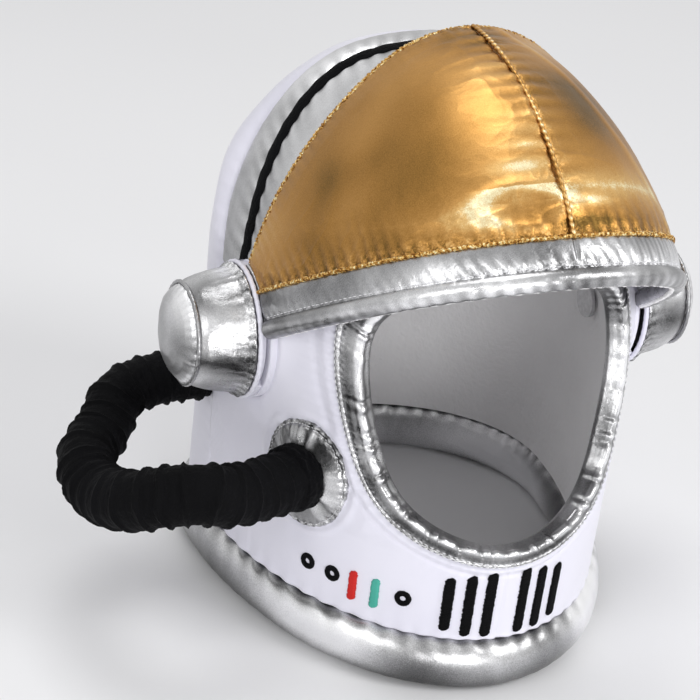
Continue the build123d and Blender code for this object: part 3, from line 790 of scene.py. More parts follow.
def make_cover():
    p, n, a, gap = front_grid(420, 760)
    level = p[..., 2]
    worked = ramp01(level, 64, 72) + ramp01(28 - level, 0, 2)
    worked = np.where(p[..., 1] < -20, np.clip(worked, 0.12, 1), 1.0)
    lift = 0.6 * billows(p, 34, 1) * worked
    round_opening = np.arctan2(level - OPENING_MIDDLE, p[..., 0]) * 80
    lift += 0.4 * wave(round_opening, 5.2, 2) * near(gap - 1, 4.5) * (gap < 30)
    lift += base_gathers(a, level)
    lift -= 0.5 * hump(p[..., 0], 0, 0.8) * (p[..., 1] < 0)
    # a little slack round the hose's patch, and a soft pull from the cup to the cheek
    patch = np.linalg.norm(p - PATCH_PLACE, axis=-1)
    ray = np.arctan2(level - PATCH_PLACE[2], p[..., 1] - PATCH_PLACE[1])
    lift += 0.55 * np.cos(ray * 9 + 3 * noise(p, 25, 3)) * near(patch - 24, 7.0) * (patch > 20)
    lift += 0.9 * hump(patch, 27.5, 1.7)
    lift += 1.1 * noise(p * np.array([1, 1, 0.4]), 17, 15) * near(np.abs(patch - 36), 10) * worked
    lift += 0.5 * creases(p, 42, 17) * worked
    # a sunk edge, a welt and a groove round the opening
    lift -= 0.3 + 0.9 * near(gap, 1.1) * (gap < 20)
    lift += 0.8 * hump(gap, 2.6, 1.2) - 0.5 * hump(gap, 5.4, 0.9)
    ear = np.hypot(p[..., 1], level - EAR)
    lift += np.clip(CUP_COVER_RISE - np.abs(p[..., 0]) - lift, 0, 12) * near(ear - 31.5, 6.0)
    p = with_hem(p + n * lift[..., None])
    gap = np.concatenate([gap[:1], gap])
    d = np.minimum(gap - 0.3, side_seam(p[..., 2]) + 3.0 - p[..., 1])
    grid_object("shell_front_cover", p, ("cheek_panel_left", "cheek_panel_right", "front_foam"),
                WHITE, wrap_v=True, d=np.minimum(d, cup_clearance(p)), flip=True,
                thick=COVER_THICKNESS)


def make_rear():
    def seam_at(s):
        x, z = R.at(s)
        seam = side_seam(z) - SETBACK
        return seam, stretch(seam) * x, z

    shares = np.linspace(0, 1, 2000)
    seam, depth, _ = seam_at(shares)
    s = np.linspace(0, shares[np.abs(seam) < depth].max(), count(380))
    seam, depth, z = seam_at(s)
    start = np.arcsin(np.clip(seam / np.maximum(depth, 1e-6), -1, 1))[:, None]
    a = start + (np.pi - 2 * start) * np.linspace(0, 1, count(520))
    s = s[:, None] + 0 * a
    p, n = R.point(s, a), R.normal(s, a)
    along = lengths_along(p, 1)
    edge = np.minimum(along, along[:, -1:] - along)
    proud = np.clip(R.width(z) - F.width(z), 0, 9)[:, None] + 1.5
    soft = np.clip(edge / (proud * 1.5 + 2), 0, 1)
    level = p[..., 2]
    lift = -proud * (1 - np.sqrt(np.clip(1 - (1 - soft) ** 2, 0, 1)))
    lift += 0.8 * billows(p, 40, 11)
    lift += 0.45 * wave(level, 7.5, 12) * near(edge, 7.0)
    back = np.abs(p[..., 0])
    behind = p[..., 1] > SETBACK
    lift -= 1.1 * hump(back, 0, 1.3) * behind
    lift += 0.35 * wave(level, 6.0, 14) * near(back, 6.0) * behind
    lift += base_gathers(a, level) - 0.3
    p = p + n * lift[..., None]
    # its side edges are turned in under the front cover
    p = np.concatenate([p[:, :1] - n[:, :1] * 3.0, p, p[:, -1:] - n[:, -1:] * 3.0], 1)
    p = with_hem(p)
    grid_object("shell_rear_cover", p, ("rear_panel_left", "rear_panel_right", "rear_foam"), WHITE,
                d=cup_clearance(p), flip=True, thick=COVER_THICKNESS)


def make_lining():
    p, n, a, gap = front_grid(200, 360)
    folds = 0.5 * billows(p, 16, 21) + 0.8 * wave(a * 80, 22, 23) * near(np.abs(p[..., 2] - 120), 60)
    p = p - n * (7.8 - 0.4 * folds)[..., None]
    grid_object("shell_lining", p, ("lining_left", "lining_right"), LINING, wrap_v=True, d=gap - 0.6)


make_cover()
make_rear()
make_lining()


# Face binding: a flat silver band stitched down at its outer edge and rolled at its inner one

# Its section: places inward from the edge and out from the wall, and how much the gathers move each
BINDING_SECTION = [
    (0.0, -1.1, 0.0), (-0.35, -0.1, 0.05), (-0.2, 0.75, 0.10), (0.35, 1.15, 0.15), (0.9, 1.0, 0.15),
    (1.35, 0.45, 0.10), (1.8, 0.9, 0.25), (2.6, 1.3, 0.45), (3.6, 1.35, 0.65), (4.4, 1.25, 0.75),
    (5.0, 1.2, 0.9), (5.7, 1.35, 1.0), (6.5, 1.2, 1.1), (7.2, 0.6, 1.2), (7.5, -0.4, 1.2),
    (7.35, -1.6, 1.0), (7.2, -3.4, 0.9), (7.3, -5.2, 0.8), (7.2, -6.9, 0.7), (6.6, -8.2, 0.5),
    (5.2, -9.0, 0.4), (3.2, -9.1, 0.3), (1.0, -8.7, 0.2), (-1.0, -8.3, 0.1),
]
BINDING_INSET = 6.8
BINDING_SEAMS = ((0.35, 1.5), (1.75, 1.12))  # inward from the edge and out from the wall


def make_binding():
    n = count(1500)
    outer, inner = opening_line(0.0, n), opening_line(BINDING_INSET, n)
    first, second = F.front_of(*outer.T), F.front_of(*inner.T)
    normal = F.normal_at((first + second) / 2)
    inward = second - first
    inward = unit(inward - (inward * normal).sum(-1, keepdims=True) * normal)
    along = lengths_along(np.vstack([first, first[:1]]), 0)
    total = along[-1]
    turn = along[:-1] / total * 2 * np.pi
    loop = loop_of(turn)
    drift = 7 * noise(loop, 0.22, 31) + 3 * noise(loop, 0.07, 33)
    bottom = ramp01(115 - outer[:, 1:], 0, 40)
    fine = np.sin(turn * round(total / 2.9) + 3 * noise(loop, 0.05, 35))[:, None]
    shares = np.linspace(0, 1, len(BINDING_SECTION))
    section = np.array(BINDING_SECTION).T
    e, h, g = (smoothed(np.interp(np.linspace(0, 1, count(84)), shares, row), [1, 2, 1]) for row in section)
    reach = np.linalg.norm(second - first, axis=1)[:, None] / 6.9
    slant = (turn * round(total / 10) + drift)[:, None] + 0.45 * e * bottom
    broad = np.sin(slant) * (0.6 + 0.5 * noise(loop, 0.15, 34)[:, None] + 0.5 * bottom)
    front = h > -2
    near_stitch = hump(e, 1.6, 1.2) * front
    lift_h = h + broad * g * 0.42 * front + 0.12 * fine * near_stitch
    lift_e = e * reach + 1.3 * broad * np.clip(g - 0.6, 0, 1)
    grid = first[:, None] + inward[:, None] * lift_e[..., None] + normal[:, None] * lift_h[..., None]
    crumpled = 0.18 * creases(grid, 9.0, 36) * front
    grid += crumpled[..., None] * normals_of(grid, wrap_u=True)
    # painted light: a painted dark reflection across the band's middle, a painted highlight on its rolled
    # edge and by the stitches, random tone, and painted glints by the stitches
    middle = hump(e, 3.6, 1.5) * front
    rolled = hump(e, 6.6, 1.0) * front
    tone_and_painted_light = 0.56 + 0.30 * noise(loop, 0.13, 38)[:, None] - 0.3 * middle + 0.5 * rolled
    tone_and_painted_light = tone_and_painted_light + 0.4 * broad * rolled + (0.12 + 0.15 * fine) * near_stitch
    crush_and_painted_glints = 0.3 * near_stitch + 0.04 + 0 * tone_and_painted_light
    grid_object("face_binding_roll", grid, ("face_binding", "face_elastic"), SILVER, wrap_u=True,
                flip=True, tone_and_painted_light=tone_and_painted_light, crush_and_painted_glints=crush_and_painted_glints)
    for k, (place, height) in enumerate(BINDING_SEAMS):
        row = first + inward * place + normal * height
        stitches("binding_stitches_%d" % (k + 1), row, normal, SHELL, 1.9, 1.0, 0.32, closed=True)


make_binding()


# Head band and stripe

BAND_ENDS = np.radians([12, 168])
STRIPE_HALF_WIDTH = 4.3


def band_grid(middle_of, across, turns):
    """Places on the front form at an offset in y for each share, at each angle over the top."""
    grid = np.zeros((len(turns), len(across), 3))
    for j, share in enumerate(across):
        height = np.full(len(turns), 180.0)
        for _ in range(12):
            q = F.over(middle_of(height, share), turns)
            height = q[:, 2]
        grid[:, j] = q
    return grid


def stripe_centre(z):
    return 6.0 + 30.0 * (z - EAR) / (TOP - EAR)


def across_band(z, share):
    front = -3.0 - 9.0 * (z - EAR) / (291.0 - EAR)
    return front + share * (side_seam(z) + 2.0 - front)


def make_band():
    nv = count(72)
    turns = np.linspace(*BAND_ENDS, count(900))
    p = band_grid(across_band, np.linspace(0, 1, nv), turns)
    n = F.normal_at(p)
    along = lengths_along(p[:, nv // 2], 0)[:, None]
    off = np.abs(p[..., 1] - stripe_centre(p[..., 2]))
    edge = np.minimum(*(np.linalg.norm(p - p[:, rim], axis=-1) for rim in (slice(1), slice(-1, None))))
    lift = 0.5 + 2.2 * np.sqrt(np.clip((off - 2.2) / 7, 0, 1)) * np.sqrt(np.clip(edge / 5, 0, 1))
    drift = p[..., 1] * 0.3
    ribs = wave(along + drift, 8.0, 41) * near(off - 3, 5.0)
    ribs += 0.5 * wave(along - drift, 5.1, 43) * near(edge, 3.0)
    lift = lift + 0.28 * ribs + 0.3 * creases(p, 16, 44)
    p = p + n * lift[..., None]
    # painted light: lighter and darker along the gathers, with random tone
    tone_and_painted_light = 0.52 + 0.3 * ribs + 0.32 * noise(p * np.array([1, 1, 0.5]), 26, 45)
    grid_object("head_band_silver", p, ("head_band",), SILVER_BAND, d=cup_clearance(p), flip=True,
                thick=0.8, tone_and_painted_light=tone_and_painted_light)
    make_stripe(turns, along)


def make_stripe(turns, along):
    edge_wave = 0.12 * wave(along[:, 0], 12.0, 47)

    def across_stripe(z, share):
        return stripe_centre(z) + share * (STRIPE_HALF_WIDTH + edge_wave * np.sign(share))

    across = np.linspace(-1, 1, count(28))
    grid = band_grid(across_stripe, across, turns)
    lift = 1.0 + 1.2 * np.sqrt(np.clip(1 - across**2, 0, 1))
    lift = lift + 0.2 * wave(along, 12.0, 47) + 0.12 * noise(grid, 2.0, 46)
    grid = grid + F.normal_at(grid) * lift[..., None]
    grid_object("band_stripe_velvet", grid, ("band_stripe",), VELVET, d=cup_clearance(grid),
                flip=True, thick=1.2)


make_band()


# Neck roll

ROLL_MIDDLE, ROLL_HALF = (HALF_WIDTH - 2.6, 12.4), (7.4, 12.9)


def roll_painted_reflections(a):
    """Painted reflections: a painted dark reflection at the front right, between two painted highlights."""
    return 0.34 * (hump(a, 4.82, 0.18) + hump(a, 3.78, 0.28)) - 0.45 * hump(a, 4.33, 0.17)


def make_roll():
    # from the back middle, where the cloth tube is joined
    a = np.linspace(0.5 * np.pi, 2.5 * np.pi, count(1100), endpoint=False)[:, None]
    t = circle(120)[None]
    high, out = np.sin(t), np.cos(t)
    x = ROLL_MIDDLE[0] + ROLL_HALF[0] * np.sign(out) * np.abs(out) ** 0.9
    p = round_form(x, ROLL_MIDDLE[1] + ROLL_HALF[1] * high, a)
    n = normals_of(p, wrap_u=True, wrap_v=True)
    along = a * 105
    pull = wave(along + 3 * high, 10.5, 51) * near(1 - high, 0.30)
    pull_low = wave(along, 8.5, 53) * near(1 + high, 0.35)
    flat = 0 * (along + high)
    slack = noise(np.stack([along + 9 * high, 14 * high + flat, flat], -1), 26, 56)
    belly = np.clip(1 - high**2, 0, 1)
    lift = 0.35 * billows(p, 26, 52) + 0.6 * pull + 0.15 * pull_low + 0.8 * slack * belly - 0.35
    lift = lift + 0.35 * creases(p, 24, 55) * belly
    p = p + n * lift[..., None]
    p[..., 2] = np.maximum(p[..., 2], 0.0)
    # painted light: lighter and darker along the gathers and round the tube's section, with random tone and
    # the painted reflections at the front
    tone_and_painted_light = 0.5 + 0.6 * noise(np.stack([along + flat, 30 * high + flat, flat], -1), 52, 57) + 0.25 * pull
    tone_and_painted_light = tone_and_painted_light + 0.16 * np.sin(t * 2 + 0.9) + roll_painted_reflections(a) * belly
    grid_object("neck_roll_silver", p, ("neck_roll_cover", "neck_roll_foam"), SILVER_ROLL,
                wrap_u=True, wrap_v=True, tone_and_painted_light=tone_and_painted_light)


make_roll()


# Ear cups

DRUM_PROFILE = [
    (95.9, 28.4), (96.0, 29.9), (96.7, 30.5), (97.8, 29.7), (99.6, 28.2), (102.5, 27.5), (107.0, 26.8),
    (112.0, 25.6), (116.5, 24.1), (119.4, 22.6), (120.5, 21.4),
]
CAP_PROFILE = [
    (120.0, 21.4), (121.3, 22.1), (123.2, 21.0), (125.6, 18.2), (127.5, 14.2), (128.8, 9.4),
    (129.4, 4.4), (129.5, 0.0),
]
CAP_RADIUS = 22
# Name, place along the axis, radius of the ring and of its cord, seed, material
CUP_RINGS = (("piping", 94.6, 29.9, 1.15, 65, WHITE), ("seam_cord", 120.6, 22.9, 0.9, 67, SILVER))


def about_ear(side, x, r, t):
    """Places round the ear axis at radius r, x out from the middle."""
    return np.stack([side * (x + 0 * t), r * np.cos(t), EAR + r * np.sin(t)], -1)


def drum_painted_bands(turn, radius):
    """Painted reflections: pale and dark bands across the drum, with a painted dark one straight ahead; they
    also shape its dents.
    """
    return 0.5 - 0.3 * np.cos(5 * (turn - np.pi)) + 0 * radius


def cap_painted_light(turn, radius):
    """Painted light: a painted dark reflection over the middle and a painted highlight at the rim; they also
    shape its dents.
    """
    share = radius / CAP_RADIUS
    return 0.36 + 0.4 * share**4 + 0.14 * np.cos(3 * turn + 0.6) * share**2


def turned_piece(name, profile, replaced, material, side, dents, seed, pleats, tone):
    """A soft piece turned on the ear axis: profile is (x, radius), from the base out."""
    points, _ = resample(np.array(profile), count(90))
    x, r = (smoothed(column, [1, 2, 3, 2, 1]) for column in points.T)
    r[r < 0.05] = 0.0
    x, r, t = x[:, None], r[:, None], circle(320)
    p = about_ear(side, x, r, t)
    amount, place, reach = pleats
    loop = loop_of(t)
    beat = np.sin(t * 30 + 5 * noise(loop, 0.5, seed + 2) + 2.5 * noise(loop, 0.16, seed + 4))
    close = near(np.abs(x - place), reach)
    slack = noise(p * np.array([0.35, 1, 1]), 10, seed + 6)
    # base holds the painted reflections of the drum or cap, which also shape the dents
    base = tone(t, r)
    lift = dents * (billows(p, 13, seed) + 0.6 * slack * (r > 5)) + amount * beat * close
    lift = lift + dents * (base - 0.5) * np.sin(np.pi * np.linspace(0, 1, len(r)))[:, None]
    p = p + normals_of(p, wrap_v=True) * side * lift[..., None]
    # painted light: the painted bands, lighter and darker along the pleats, with random tone; painted glints
    # by the pleats
    tone_and_painted_light = base + 0.35 * noise(p * np.array([0.3, 1, 1]), 17, seed + 8) + 0.3 * beat * close
    grid_object(name, p, replaced, material, wrap_v=True, flip=side > 0, tone_and_painted_light=tone_and_painted_light,
                crush_and_painted_glints=0.5 * close + 0 * tone_and_painted_light)


def cup_ring(side, name, node, x, ring, cord, seed, material):
    """A cord laid in a ring round the cup."""
    t, u = circle(420)[:, None], circle(28)
    loop = loop_of(t[:, 0])
    beat = np.sin(t[:, 0] * 46 + 4 * noise(loop, 0.4, seed) + 2 * noise(loop, 0.12, seed + 1))
    c = cord * (1 + 0.07 * beat[:, None])
    p = about_ear(side, x + c * np.sin(u), ring + c * np.cos(u), t)
    grid_object("ear_cup_" + node + "_roll_" + name, p, ("ear_cup_" + node + "_" + name,), material,
                wrap_u=True, wrap_v=True, flip=side < 0)


def make_cup(side, name):
    turned_piece("ear_cup_side_" + name, DRUM_PROFILE, ("ear_cup_drum_" + name,), SILVER, side,
                 0.5, 61, (0.32, 97.5, 4.0), drum_painted_bands)
    turned_piece("ear_cup_cap_cover_" + name, CAP_PROFILE,
                 ("ear_cup_cap_" + name, "ear_cup_filling_" + name), PEARL, side,
                 0.35, 63, (0.3, 121.0, 1.7), cap_painted_light)
    for ring in CUP_RINGS:
        cup_ring(side, name, *ring)
    for node in ("ear_backing_pad_", "ear_cup_pad_"):
        soft_copy(node + name, SHELL, WHITE)


def soft_copy(node, body, material):
    """A softened copy of a small pad's solid, which takes its place."""
    piece = add_object(node + "_soft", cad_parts[node].data.copy())
    piece.data.materials.clear()
    remesh = piece.modifiers.new("remesh", "REMESH")
    remesh.mode = "VOXEL"
    remesh.voxel_size = 0.55 * MM
    soften = piece.modifiers.new("soften", "SMOOTH")
    soften.factor = 0.5
    soften.iterations = 5
    bpy.context.view_layer.update()
    evaluated = piece.evaluated_get(bpy.context.evaluated_depsgraph_get())
    done = bpy.data.meshes.new_from_object(evaluated)
    piece.modifiers.clear()
    piece.data = done
    done.materials.clear()
    set_cloth_values(done)
    dress(piece, body, (node,), material)


for side, name in SIDES:
    make_cup(side, name)


# Visor

BRIM, REAR_EDGE, ROOT = 34.6, 90.0, 31.5
BRIM_HEIGHT = 12.5
BRIM_TUCK = ((1.1, 1.15), (0.55, 0.35))  # down and out from the band's edge, onto the roll
VISOR_MIDDLE = np.array([0, -40.0, EAR])
VISOR_HALF_WIDTH = 95.0
VISOR_REACH, VISOR_TOP_RADIUS = (152.7, 139.8), (77.0, 60.0)  # at the brim, and at the rear edge


def visor_sizes(angle):
    """The arch's half width, its reach, and the radii of its sides and its top."""
    share = (angle - BRIM) / (REAR_EDGE - BRIM)
    reach, top = (low + share * (high - low) for low, high in (VISOR_REACH, VISOR_TOP_RADIUS))
    width = VISOR_HALF_WIDTH
    side = (width**2 + (reach - top) ** 2 - top**2) / (2 * (width - top))
    return width, reach, side, top


def visor_point(angle, share, inset=0.0):
    """A place on the visor: share runs -1 to 1 over the arch, from the right ear to the left."""
    width, reach, side, top = (size - inset for size in visor_sizes(angle))
    side_x, top_h = width - side, reach - top
    turn = np.arctan2(top_h, -side_x)
    first = np.arcsin(ROOT / side)
    length_side, length_top = side * (turn - first), top * (np.pi / 2 - turn)
    at = (1 - np.abs(share)) * (length_side + length_top)
    a = np.where(at < length_side, first + at / side, turn + (at - length_side) / top)
    x = np.where(at < length_side, side_x + side * np.cos(a), top * np.cos(a))
    h = np.where(at < length_side, side * np.sin(a), top_h + top * np.sin(a))
    rad = np.radians(angle)
    return np.stack([np.sign(share + 1e-12) * x, -h * np.cos(rad), EAR + h * np.sin(rad)], -1), h


def visor_seam_angle(share):
    """The angle at which the gold meets the silver, for places along the arch."""
    angle = np.full_like(share, BRIM + 5.0)
    for _ in range(12):
        _, h = visor_point(angle, share)
        angle = BRIM + np.degrees(np.arcsin(np.clip(BRIM_HEIGHT / h, 0, 0.9)))
    return angle


def outward(grid):
    n = normals_of(grid)
    facing = (n * (grid - VISOR_MIDDLE)).sum(-1)
    return n * np.sign(np.median(facing))


def visor_grid(share, low, high, rows, inset=0.0):
    """Places and normals between two edges of the visor, each an angle or one for each share."""
    v = np.linspace(0, 1, count(rows))[:, None]
    angle = low + (high - low) * v + 0 * share
    p, _ = visor_point(angle, share + 0 * angle, inset)
    return p, outward(p), lengths_along(p[0], 0)[None], lengths_along(p, 0)


# Painted highlights on the gold: x, height over the low edge, half width, half height, amount
GOLD_PAINTED_HIGHLIGHTS = (
    (-15, 33, 12, 3.5, 0.42), (-12, 43, 8, 2.0, 0.25), (13, 15, 9, 2.8, 0.5), (-36, 9, 14, 4, 0.35),
)


def make_gold(share, low):
    p, n, along, from_low = visor_grid(share, low, REAR_EDGE, 320)
    from_rear = from_low[-1:] - from_low
    x = p[..., 0]
    from_seam = np.abs(x)
    pucker_low = wave(along + 0.12 * from_low, 6.5, 72) * near(from_low, 7.0)
    pucker_seam = wave(from_low, 8.0, 74) * near(from_seam, 7.0)
    pucker_rear = wave(along, 6.0, 76) * near(from_rear, 5.0)
    crumple = creases(p, 17, 77, 3)
    spread = near(np.minimum(from_seam * 1.3, from_low), 20.0)
    lift = 0.9 * billows(p, 46, 71) * np.clip(from_rear / 10, 0, 1)
    lift += 0.55 * pucker_low + 0.5 * pucker_seam + 0.35 * pucker_rear
    lift += (0.7 * crumple + 1.5 * creases(p, 30, 73)) * spread * ramp01(from_low, 0, 7)
    lift -= 0.8 * hump(from_seam, 0, 1.3)
    # a dent with a raised ring at the lower front right, and a streak down the left
    dent = np.hypot((x + 17) / 13, (from_low - 15) / 7)
    ring = hump(dent, 1.4, 0.4)
    streak = hump(x - 62 + 0.4 * from_low + 1.5 * noise(p, 20, 70), 0, 2.4)
    lift += 0.7 * ring - 1.1 * hump(dent, 0, 1) + 0.45 * streak
    p = p + n * lift[..., None]
    # painted light: broad painted highlights lie across the lower middle, a painted shadow runs along the
    # lower edge, puckers and crumples are painted lighter and darker, and the sides stay plain and darker
    painted_gleam = near(np.abs(from_low - 20 - 10 * noise(p, 30, 78)), 9) * near(from_seam - 46, 16)
    painted_shade = near(np.abs(from_low - 6), 4) * near(from_seam - 18, 14)
    tone_and_painted_light = 0.42 + 0.26 * billows(p, 38, 79) + 0.22 * (pucker_low + pucker_seam) + 0.5 * painted_gleam
    tone_and_painted_light += 0.2 * (crumple - 0.4) * spread - 0.45 * painted_shade - 0.14 * ramp01(p[..., 0], 10, 60)
    # painted highlight on the raised ring and painted shade in the dent; then painted highlights at the
    # listed places and along the streak
    tone_and_painted_light += 0.45 * ring * (from_low < 24) - 0.2 * hump(dent, 0.8, 0.3) * (from_low > 17)
    for middle, high, wide, deep, amount in GOLD_PAINTED_HIGHLIGHTS:
        tone_and_painted_light += amount * hump(p[..., 0], middle, wide) * hump(from_low, high, deep)
    tone_and_painted_light += 0.25 * streak
    # crinkles with painted glints by the edges and seam, and painted glints in the broad painted highlights
    crush_and_painted_glints = 0.8 * near(from_low, 3.5) + 0.6 * near(from_seam, 2.5) + 0.3 * near(from_rear, 2.5)
    grid_object("visor_gold", p, ("visor_panel_left", "visor_panel_right"), GOLD, VISOR, flip=True,
                thick=0.9, tone_and_painted_light=tone_and_painted_light, crush_and_painted_glints=crush_and_painted_glints + 0.12 * painted_gleam)


def make_brim(share, low):
    p, n, along, across = visor_grid(share, BRIM, low, 64)
    wide = across[-1:]
    bulge = np.sin(np.pi * np.clip(across / wide, 0, 1)) ** 0.6
    middle = near_middle(p)
    pucker = wave(along + 0.5 * across, 6.0, 81) * near(across, 3.0) * (0.35 + middle)
    upper = wave(along, 6.4, 83) * near(wide - across, 2.5)
    lift = 0.2 + 0.8 * bulge + 0.6 * pucker + 0.25 * upper + 0.3 * creases(p, 12, 84) * bulge
    lift -= 0.9 * hump(p[..., 0], 0, 0.8)
    p = p + n * lift[..., None]
    far = ramp01(p[..., 0], 4, 40)
    # painted light: lighter and darker along the puckers, lighter towards the lower edge and with painted
    # streaks on the +x side, a painted highlight along the lower edge over the middle, random tone, and
    # painted glints by the lower edge
    tone_and_painted_light = 0.44 + 0.4 * pucker + 0.35 * noise(p, 24, 85) + 0.16 * (1 - across / wide)
    tone_and_painted_light += far * (0.16 + 0.22 * wave(along + 0.3 * across, 3.4, 86))
    tone_and_painted_light += 0.25 * near(across - 1, 2.0) * middle
    crush_and_painted_glints = 0.6 * near(across, 1.6) * (0.3 + middle) + 0 * tone_and_painted_light
    down = unit(p[0] - p[1])
    tuck = [p[0] + down * low_by + n[0] * (out_by - lift[0][:, None]) for low_by, out_by in BRIM_TUCK]
    grid = np.concatenate([tuck, p])
    tone_and_painted_light, crush_and_painted_glints = (np.concatenate([v[:1], v[:1], v]) for v in (tone_and_painted_light, crush_and_painted_glints))
    grid_object("visor_brim_silver", grid, ("brim_band_left", "brim_band_right"), SILVER, VISOR,
                flip=True, thick=0.9, tone_and_painted_light=tone_and_painted_light, crush_and_painted_glints=crush_and_painted_glints)
    row = p[2] + n[2] * 0.25
    stitches("brim_stitches", row[8:-8], n[2][8:-8], VISOR, 2.0, 1.0, 0.22)


def near_middle(p):
    """1 over the middle of the brim, fading to 0 towards the ears."""
    return near(np.abs(p[..., 0]) - 38, 14)


def make_visor_lining():
    p = visor_grid(np.linspace(-1, 1, count(300)), BRIM, REAR_EDGE, 120, 1.4)[0]
    grid_object("visor_lining_cloth", p, ("visor_lining", "visor_foam"), LINING, VISOR, thick=2.2,
                flip=True)


def arch_line(angle, inset, shift, start, n=900):
    """The arch in a plane level with the section at an angle, moved along its normal."""
    share = np.linspace(-1, 1, n) * (1 - 1e-4)
    p, h = visor_point(np.full(n, angle), share, inset)
    rad = np.radians(angle)
    return (p + np.array([0, np.sin(rad), np.cos(rad)]) * shift)[h >= start]


def cord_piece(name, line, radius, replaced, material, gathers, seed, twist=0.0, fuzz=0.0,
               under=False):
    """A covered cord along a line, with its gathers as (amount, length), or its underside's alone."""
    line, s = resample(line, count(1200))
    side, up = tube_frames(line, line - np.array([0, -30.0, EAR]))
    t = circle(30)
    amount, length = gathers
    beat = wave(s[:, None] + 0.8 * np.sin(t), length, seed) * (0.35 + 0.65 * near_middle(line)[:, None])
    if under:
        beat = beat * np.clip(np.cos(t) + 0.25, 0, 1)
    r = radius * (1 + amount * beat)
    if twist:
        r = r * (1 + 0.12 * np.sin(s[:, None] * twist + 2 * t))
    p = sweep(line, side, up, r, t)
    if fuzz:
        p = p + fuzz * noise(p, 0.9, seed + 7)[..., None] * normals_of(p, wrap_v=True)
    # painted light: lighter and darker along the gathers, and one side of the cord painted lighter, with
    # random tone
    tone_and_painted_light = 0.46 + 0.30 * beat + 0.30 * noise(p, 22, seed + 3) + 0.22 * np.sin(t + 0.6)
    p = np.concatenate([line[:1, None] + 0 * p[:1], p, line[-1:, None] + 0 * p[-1:]])
    tone_and_painted_light = np.concatenate([tone_and_painted_light[:1], tone_and_painted_light, tone_and_painted_light[-1:]])
    grid_object(name, p, replaced, material, VISOR, wrap_v=True, tone_and_painted_light=tone_and_painted_light)


def make_visor_cords(share, low):
    cord_piece("brim_roll_silver", arch_line(BRIM, 1.7, -4.6, 32.6), 4.5,
               ("brim_roll", "brim_roll_core"), SILVER, (0.045, 7.0), 91, under=True)
    cord_piece("visor_hem_fleece", arch_line(BRIM, 3.7, -7.8, 34.0), 1.2, (), LINING, (0.05, 7.0), 99,
               fuzz=0.25)
    cord_piece("visor_rear_cord_gold", arch_line(REAR_EDGE, 1.6, 1.7, ROOT), 1.7,
               ("visor_rear_cord",), GOLD_CORD, (0.08, 3.0), 93, 3.2, 0.25)
    line, _ = visor_point(low, share, -1.0)
    cord_piece("visor_boundary_cord_gold", line, 0.9, ("visor_boundary_cord",), GOLD_CORD,
               (0.08, 2.2), 95, 5.0, 0.2)
    angle = np.linspace(39.5, REAR_EDGE, 400)
    line, _ = visor_point(angle, np.full(400, 1e-9), -0.75)
    line[:, 0] = 0
    cord_piece("visor_centre_cord_gold", line, 0.95, ("visor_centre_cord",), GOLD, (0.16, 3.4), 97)


TAB_EDGE_PROFILE = [(90.9, 19.0), (90.9, 26.4), (91.3, 27.3), (92.5, 27.3), (92.9, 26.4), (92.9, 19.0)]


def make_tab_edge(side, name):
    """The soft edge of the ear tab, a ring in the slot between the pads."""
    profile = spline_through(TAB_EDGE_PROFILE, (0, 1), (0, -1), count=40)
    p = about_ear(side, profile[:, :1], profile[:, 1:], circle(160))
    grid_object("visor_ear_tab_edge_" + name, p, (), WHITE, VISOR, wrap_u=True, wrap_v=True,
                flip=side > 0)


def make_visor():
    share = np.linspace(-1, 1, count(800))
    low = visor_seam_angle(share)
    make_gold(share, low)
    make_brim(share, low)
    make_visor_lining()
    make_visor_cords(share, low)
    for side, name in SIDES:
        soft_copy("visor_ear_tab_" + name, VISOR, SILVER_BAND)
        make_tab_edge(side, name)


make_visor()


# Hose patch: a padded silver round, gathered in to the hose and stitched down at its rim

PATCH_HALF_WIDTH, PATCH_HALF_HEIGHT = 23.8, 25.6
PATCH_SEAM = 0.93


def make_patch():
    r, t = np.linspace(0, 1, count(100))[:, None], circle(420)
    loop = loop_of(t)
    folds = np.sin(t * 6 + 3.2 * noise(loop, 0.6, 101) + 0.9 * r)
    small = np.sin(t * 27 + 4 * noise(loop, 0.3, 103))
    wide = r * (1 + 0.006 * np.sin(t * 47))
    base, normal = on_wall(PATCH_PLACE, wide * PATCH_HALF_WIDTH * np.cos(t),
                           wide * PATCH_HALF_HEIGHT * np.sin(t))
    lift = 0.5 + 4.6 * np.clip(1 - r**2.8, 0, 1) ** 0.75
    lift = lift + 0.9 * folds * hump(r, 0.66, 0.24) + 0.32 * small * hump(r, PATCH_SEAM, 0.06)
    lift = lift - 0.6 * hump(r, PATCH_SEAM, 0.025)
    # painted light: pale below and towards the face, painted shade above, lighter and darker along the folds,
    # and painted glints by the rim
    tone_and_painted_light = 0.52 + 0.30 * folds * (1 - 0.3 * r) - 0.26 * np.sin(t) * r + 0.14 * np.cos(t) * r
    tone_and_painted_light = tone_and_painted_light + 0.25 * small * r**8 + 0.12 * noise(base, 14, 105)
    lift[-1] = -0.4
    p = base + normal * lift[..., None]
    grid_object("hose_patch_silver", p, ("hose_patch",), SILVER, wrap_v=True, tone_and_painted_light=tone_and_painted_light,
                crush_and_painted_glints=0.4 * hump(r, 0.96, 0.04) + 0.03 + 0 * t)
    row = p[int(PATCH_SEAM * (len(r) - 1))] + normal * 0.35
    stitches("patch_stitches", row, np.tile(normal, (len(row), 1)), SHELL, 1.3, 0.6, 0.22, closed=True)


make_patch()


# Embroidery: satin stitch, with one ridge to each thread and ragged ends

